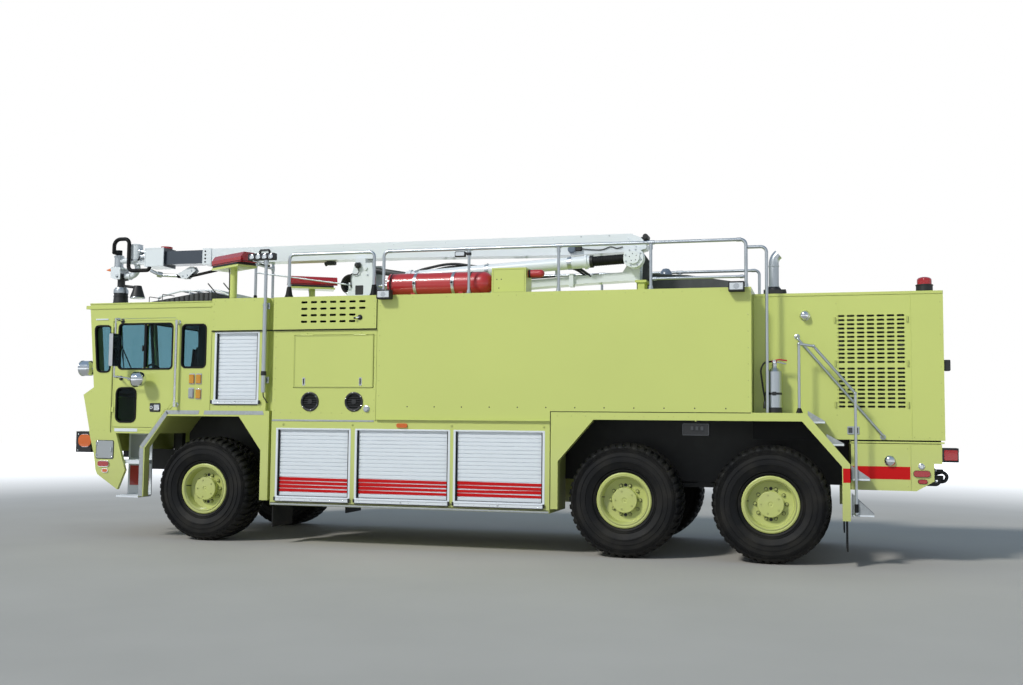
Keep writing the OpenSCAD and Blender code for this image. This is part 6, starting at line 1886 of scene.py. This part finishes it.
def bumper_fittings(side, s):
    """Head lamps' bezels, hooks, bolts and grip lines of the bumper"""
    made = Shape("chrome")
    front = Matrix(((0, 0, 1, 5.602), (s, 0, 0, 0), (0, 1, 0, 0), (0, 0, 0, 1)))
    made.band(rounded(0.882, 1.378, 1.242, 1.418, 0.02), 0.014, -0.001, 0.006, front, 0.002)
    for y in (0.985, 1.275):
        made.of("chrome").lathe(
            [(0.066, 0), (0.074, 0.003), (0.072, 0.01), (0.064, 0.006), (0.066, 0)],
            (5.602, s * y, 1.33), AHEAD, 36)
        made.of("clear lens").lathe([(0.064, 0), (0.05, 0.008), (0, 0.012)], (5.602, s * y, 1.33), AHEAD, 32)
    made.of("steel tube").bolts(
        [(5.596, s * y, z) for y in (0.2, 0.5, 0.8) for z in (1.22, 1.43)], AHEAD, 0.03, 6)
    made.bolts([(x, s * 1.47, z) for x in (5.29, 5.56) for z in (1.21, 1.44)], (0, s, 0), 0.02, 8)
    made.of("black").hose(
        [
            (5.596, s * 0.62, 1.25), (5.66, s * 0.62, 1.25), (5.66, s * 0.62, 1.37),
            (5.596, s * 0.62, 1.37),
        ], 0.03, 5, 0.016, 12)
    made.of("chrome").band(
        rounded(5.385, 5.505, 1.256, 1.444, 0.02), 0.01, 0, 0.01, on_side(s * 1.47, s), 0.002)
    # Grip lines of the bright top plate
    for k in range(7):
        x = 5.3 + 0.042 * k
        made.of("anodised").box(near(x, 0.006), span(s, 0.05, 1.45), (1.48, 1.483), 0.001)
    made.piece(f"bumper_fittings_{side}")


class TRUCK_OT_mast_and_front(bpy.types.Operator):
    """Lamps and clamps of the light mast, and fittings of the bumper and the spot lamps"""

    bl_idname = "truck.mast_and_front"
    bl_label = "Mast and front fittings"

    def execute(self, context):
        mast_lamps(*MAST)
        mast_clamps(*MAST)
        for side, s in SIDES:
            spot_lamp(side, s)
            bumper_fittings(side, s)
        return {"FINISHED"}


def cushion_mesh(name, size):
    """Crowned pad: its sides pull in between the corners, and two sewn channels run along it."""
    work = bmesh.new()
    bmesh.ops.create_cube(work, size=2)
    bmesh.ops.subdivide_edges(work, edges=work.edges[:], cuts=15, use_grid_fill=True)
    thin = size.index(min(size))
    along, across = [i for i in range(3) if i != thin]
    for v in work.verts:
        u, w, t = v.co[along], v.co[across], v.co[thin]
        sewn = sum(exp(-(((w - c) / 0.06) ** 2)) for c in (-0.34, 0.34))
        v.co[along] = u * size[along] / 2 * (1 - 0.05 * (1 - w * w)) * (1 - 0.04 * t * t)
        v.co[across] = w * size[across] / 2 * (1 - 0.04 * (1 - u * u)) * (1 - 0.04 * t * t)
        v.co[thin] = t * size[thin] / 2 * (0.45 + 0.55 * (1 - u**4) * (1 - w**4)) * (1 - 0.25 * sewn)
    made = bpy.data.meshes.new(name)
    work.to_mesh(made)
    work.free()
    made.shade_smooth()
    made.materials.append(bpy.data.materials["seat cover"])
    return made


class TRUCK_OT_cab_lining(bpy.types.Operator):
    """Dark lining of the roof, the locker behind the seats, and the gear on the dashboard"""

    bl_idname = "truck.cab_lining"
    bl_label = "Cab lining"

    def execute(self, context):
        made = Shape("dark grey")
        made.box((3.5, 5.28), (-1.44, 1.44), (3.148, 3.163), 0.004)
        # Locker behind the seats, with its doors' seams and pulls
        made.of("black").box((3.502, 3.905), (-1.1, 1.1), (1.87, 3.14), 0.02)
        for y in (-0.72, 0.0, 0.72):
            made.of("dark grey").box((3.905, 3.911), near(y, 0.34), (1.95, 3.05), 0.003)
            made.of("steel tube").box((3.911, 3.925), near(y, 0.05), (2.45, 2.475), 0.004)
        # Radio, screens and switch rows on the dashboard
        for y, wide in ((0.0, 0.16), (0.3, 0.1), (-0.52, 0.14)):
            made.of("black").box((5.06, 5.1), near(y, wide), (2.12, 2.3), 0.008)
            made.of("slate").box((5.052, 5.0605), (y - wide + 0.02, y + wide - 0.02), (2.14, 2.28), 0.002)
        for k in range(10):
            made.of("grey enamel").box((4.992, 5.004), near(-0.22 + 0.05 * k, 0.012), (2.09, 2.115), 0.003)
        made.piece("cab_lining", "interior_plastic")
        return {"FINISHED"}


class TRUCK_OT_cushions(bpy.types.Operator):
    """Padded seats, backs and head rests of the cab"""

    bl_idname = "truck.cushions"
    bl_label = "Seat cushions"

    def execute(self, context):
        lean = Matrix.Rotation(radians(-7), 4, "Y")
        for n, y in enumerate((0.62, -0.62, 0.0)):
            for part, place, size in (
                ("cushion", Matrix.Translation((4.26, y, SEAT + 0.15)), (0.47, 0.47, 0.07)),
                ("back", Matrix.Translation((4.155, y, SEAT + 0.44)) @ lean, (0.08, 0.46, 0.56)),
                ("head_rest", Matrix.Translation((4.045, y, SEAT + 0.83)), (0.06, 0.25, 0.16)),
            ):
                made = bpy.data.objects.new(f"seat_{part}_{n + 1}", cushion_mesh(f"seat_{part}", size))
                context.scene.collection.objects.link(made)
                made.matrix_world = place
                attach(made, "truck")
        return {"FINISHED"}


class TRUCK_OT_stage(bpy.types.Operator):
    """Pale floor, plain light and the photograph's camera"""

    bl_idname = "truck.stage"
    bl_label = "Stage"

    def execute(self, context):
        scene = context.scene
        scene.view_settings.view_transform = "Standard"

        def floor(tree):
            """Pale ground that fades to the backdrop's white, so that no horizon shows."""
            place = place_of(tree)
            far = add_node(tree, "VectorMath", {0: place}, operation="LENGTH").outputs["Value"]
            fade = between(tree, far, 9.0, 26.0)
            pale = mix(tree, noise(tree, 0.5, 5, place), linear("#A9A69F"), linear("#B9B6AF"))
            return {
                "Base Color": mix(tree, fade, pale, (0.8, 0.8, 0.8, 1)), "Roughness": 0.9,
                "Emission Color": (1, 1, 1, 1), "Emission Strength": between(tree, far, 12.0, 30.0, 0.0, 1.0)
            }

        material("ground", build=floor)
        ground = Shape("ground").turned([(60.0, 0.0), (60.0, -0.001)], steps=96)
        made = bpy.data.objects.new("ground", ground.mesh("ground"))
        scene.collection.objects.link(made)

        light = bpy.data.lights.new("sun", "SUN")
        light.energy, light.angle = 2.3, radians(9)
        light.color = (1.0, 0.985, 0.95)
        sun = bpy.data.objects.new("sun", light)
        sun.matrix_world = look((0, 0, 8), (0.42, 0.72, 0.66))
        scene.collection.objects.link(sun)

        world = scene.world or bpy.data.worlds.new("world")
        scene.world = world
        world.use_nodes = True
        tree = world.node_tree
        tree.nodes.clear()
        rays = add_node(tree, "LightPath").outputs
        seen = add_node(
            tree, "Math", {0: rays["Is Camera Ray"], 1: rays["Is Transmission Ray"]}, operation="MAXIMUM"
        ).outputs[0]
        sky = add_node(
            tree, "SeparateXYZ", {"Vector": add_node(tree, "TexCoord").outputs["Generated"]}).outputs["Z"]
        blue = mix(tree, between(tree, sky, 0.0, 0.7), linear("#E3E7EA"), linear("#9DB4CE"))
        plain = add_node(tree, "Background", {"Color": blue, "Strength": 0.75}).outputs[0]
        white = add_node(tree, "Background", {"Color": (1, 1, 1, 1), "Strength": 1.0}).outputs[0]
        both = add_node(tree, "MixShader", {0: seen, 1: plain, 2: white}).outputs[0]
        add_node(tree, "OutputWorld", {"Surface": both})

        # The photograph's camera, fitted to the wheels, the body's corners and the ground line
        yaw, pitch, roll = radians(15.65), radians(4.0), radians(0.538)
        ahead = Vector((sin(yaw) * cos(pitch), -cos(yaw) * cos(pitch), sin(pitch)))
        right = ahead.cross(Vector((0, 0, 1))).normalized()
        up = right.cross(ahead)
        right, up = right * cos(roll) + up * sin(roll), up * cos(roll) - right * sin(roll)
        lens = bpy.data.cameras.new("camera")
        lens.lens, lens.sensor_width, lens.sensor_fit = 39.47, 36.0, "HORIZONTAL"
        camera = bpy.data.objects.new("camera", lens)
        camera.matrix_world = Matrix(
            [(right[i], up[i], -ahead[i], (-4.766, 15.348, 1.686)[i]) for i in range(3)] + [(0, 0, 0, 1)]
        )
        scene.collection.objects.link(camera)
        scene.camera = camera
        return {"FINISHED"}


PIECES = (
    TRUCK_OT_paint,
    TRUCK_OT_tyres,
    TRUCK_OT_wheel_fittings,
    TRUCK_OT_seals,
    TRUCK_OT_cab_fittings,
    TRUCK_OT_trims,
    TRUCK_OT_shutter_fittings,
    TRUCK_OT_vent_fittings,
    TRUCK_OT_roof_fittings,
    TRUCK_OT_boom_fittings,
    TRUCK_OT_rear_fittings,
    TRUCK_OT_mast_and_front,
    TRUCK_OT_cab_lining,
    TRUCK_OT_cushions,
    TRUCK_OT_stage,
)


class TRUCK_PT_pieces(bpy.types.Panel):
    """Builds the truck's pieces one by one"""

    bl_label = "Fire truck"
    bl_space_type = "VIEW_3D"
    bl_region_type = "UI"
    bl_category = "Truck"

    def draw(self, context):
        for group in (context.scene.truck_colours, context.scene.truck_sizes):
            for name in group.bl_rna.properties.keys():
                if name not in ("rna_type", "name"):
                    self.layout.prop(group, name)
        for piece in PIECES:
            self.layout.operator(piece.bl_idname)


CLASSES = (TruckColours, TruckSizes, *PIECES, TRUCK_PT_pieces)


def register():
    for made in CLASSES:
        bpy.utils.register_class(made)
    bpy.types.Scene.truck_colours = bpy.props.PointerProperty(type=TruckColours)
    bpy.types.Scene.truck_sizes = bpy.props.PointerProperty(type=TruckSizes)


def unregister():
    del bpy.types.Scene.truck_sizes
    del bpy.types.Scene.truck_colours
    for made in reversed(CLASSES):
        bpy.utils.unregister_class(made)


def main():
    register()
    for piece in PIECES:
        getattr(bpy.ops.truck, piece.bl_idname.split(".")[1])()


if __name__ == "__main__":
    main()
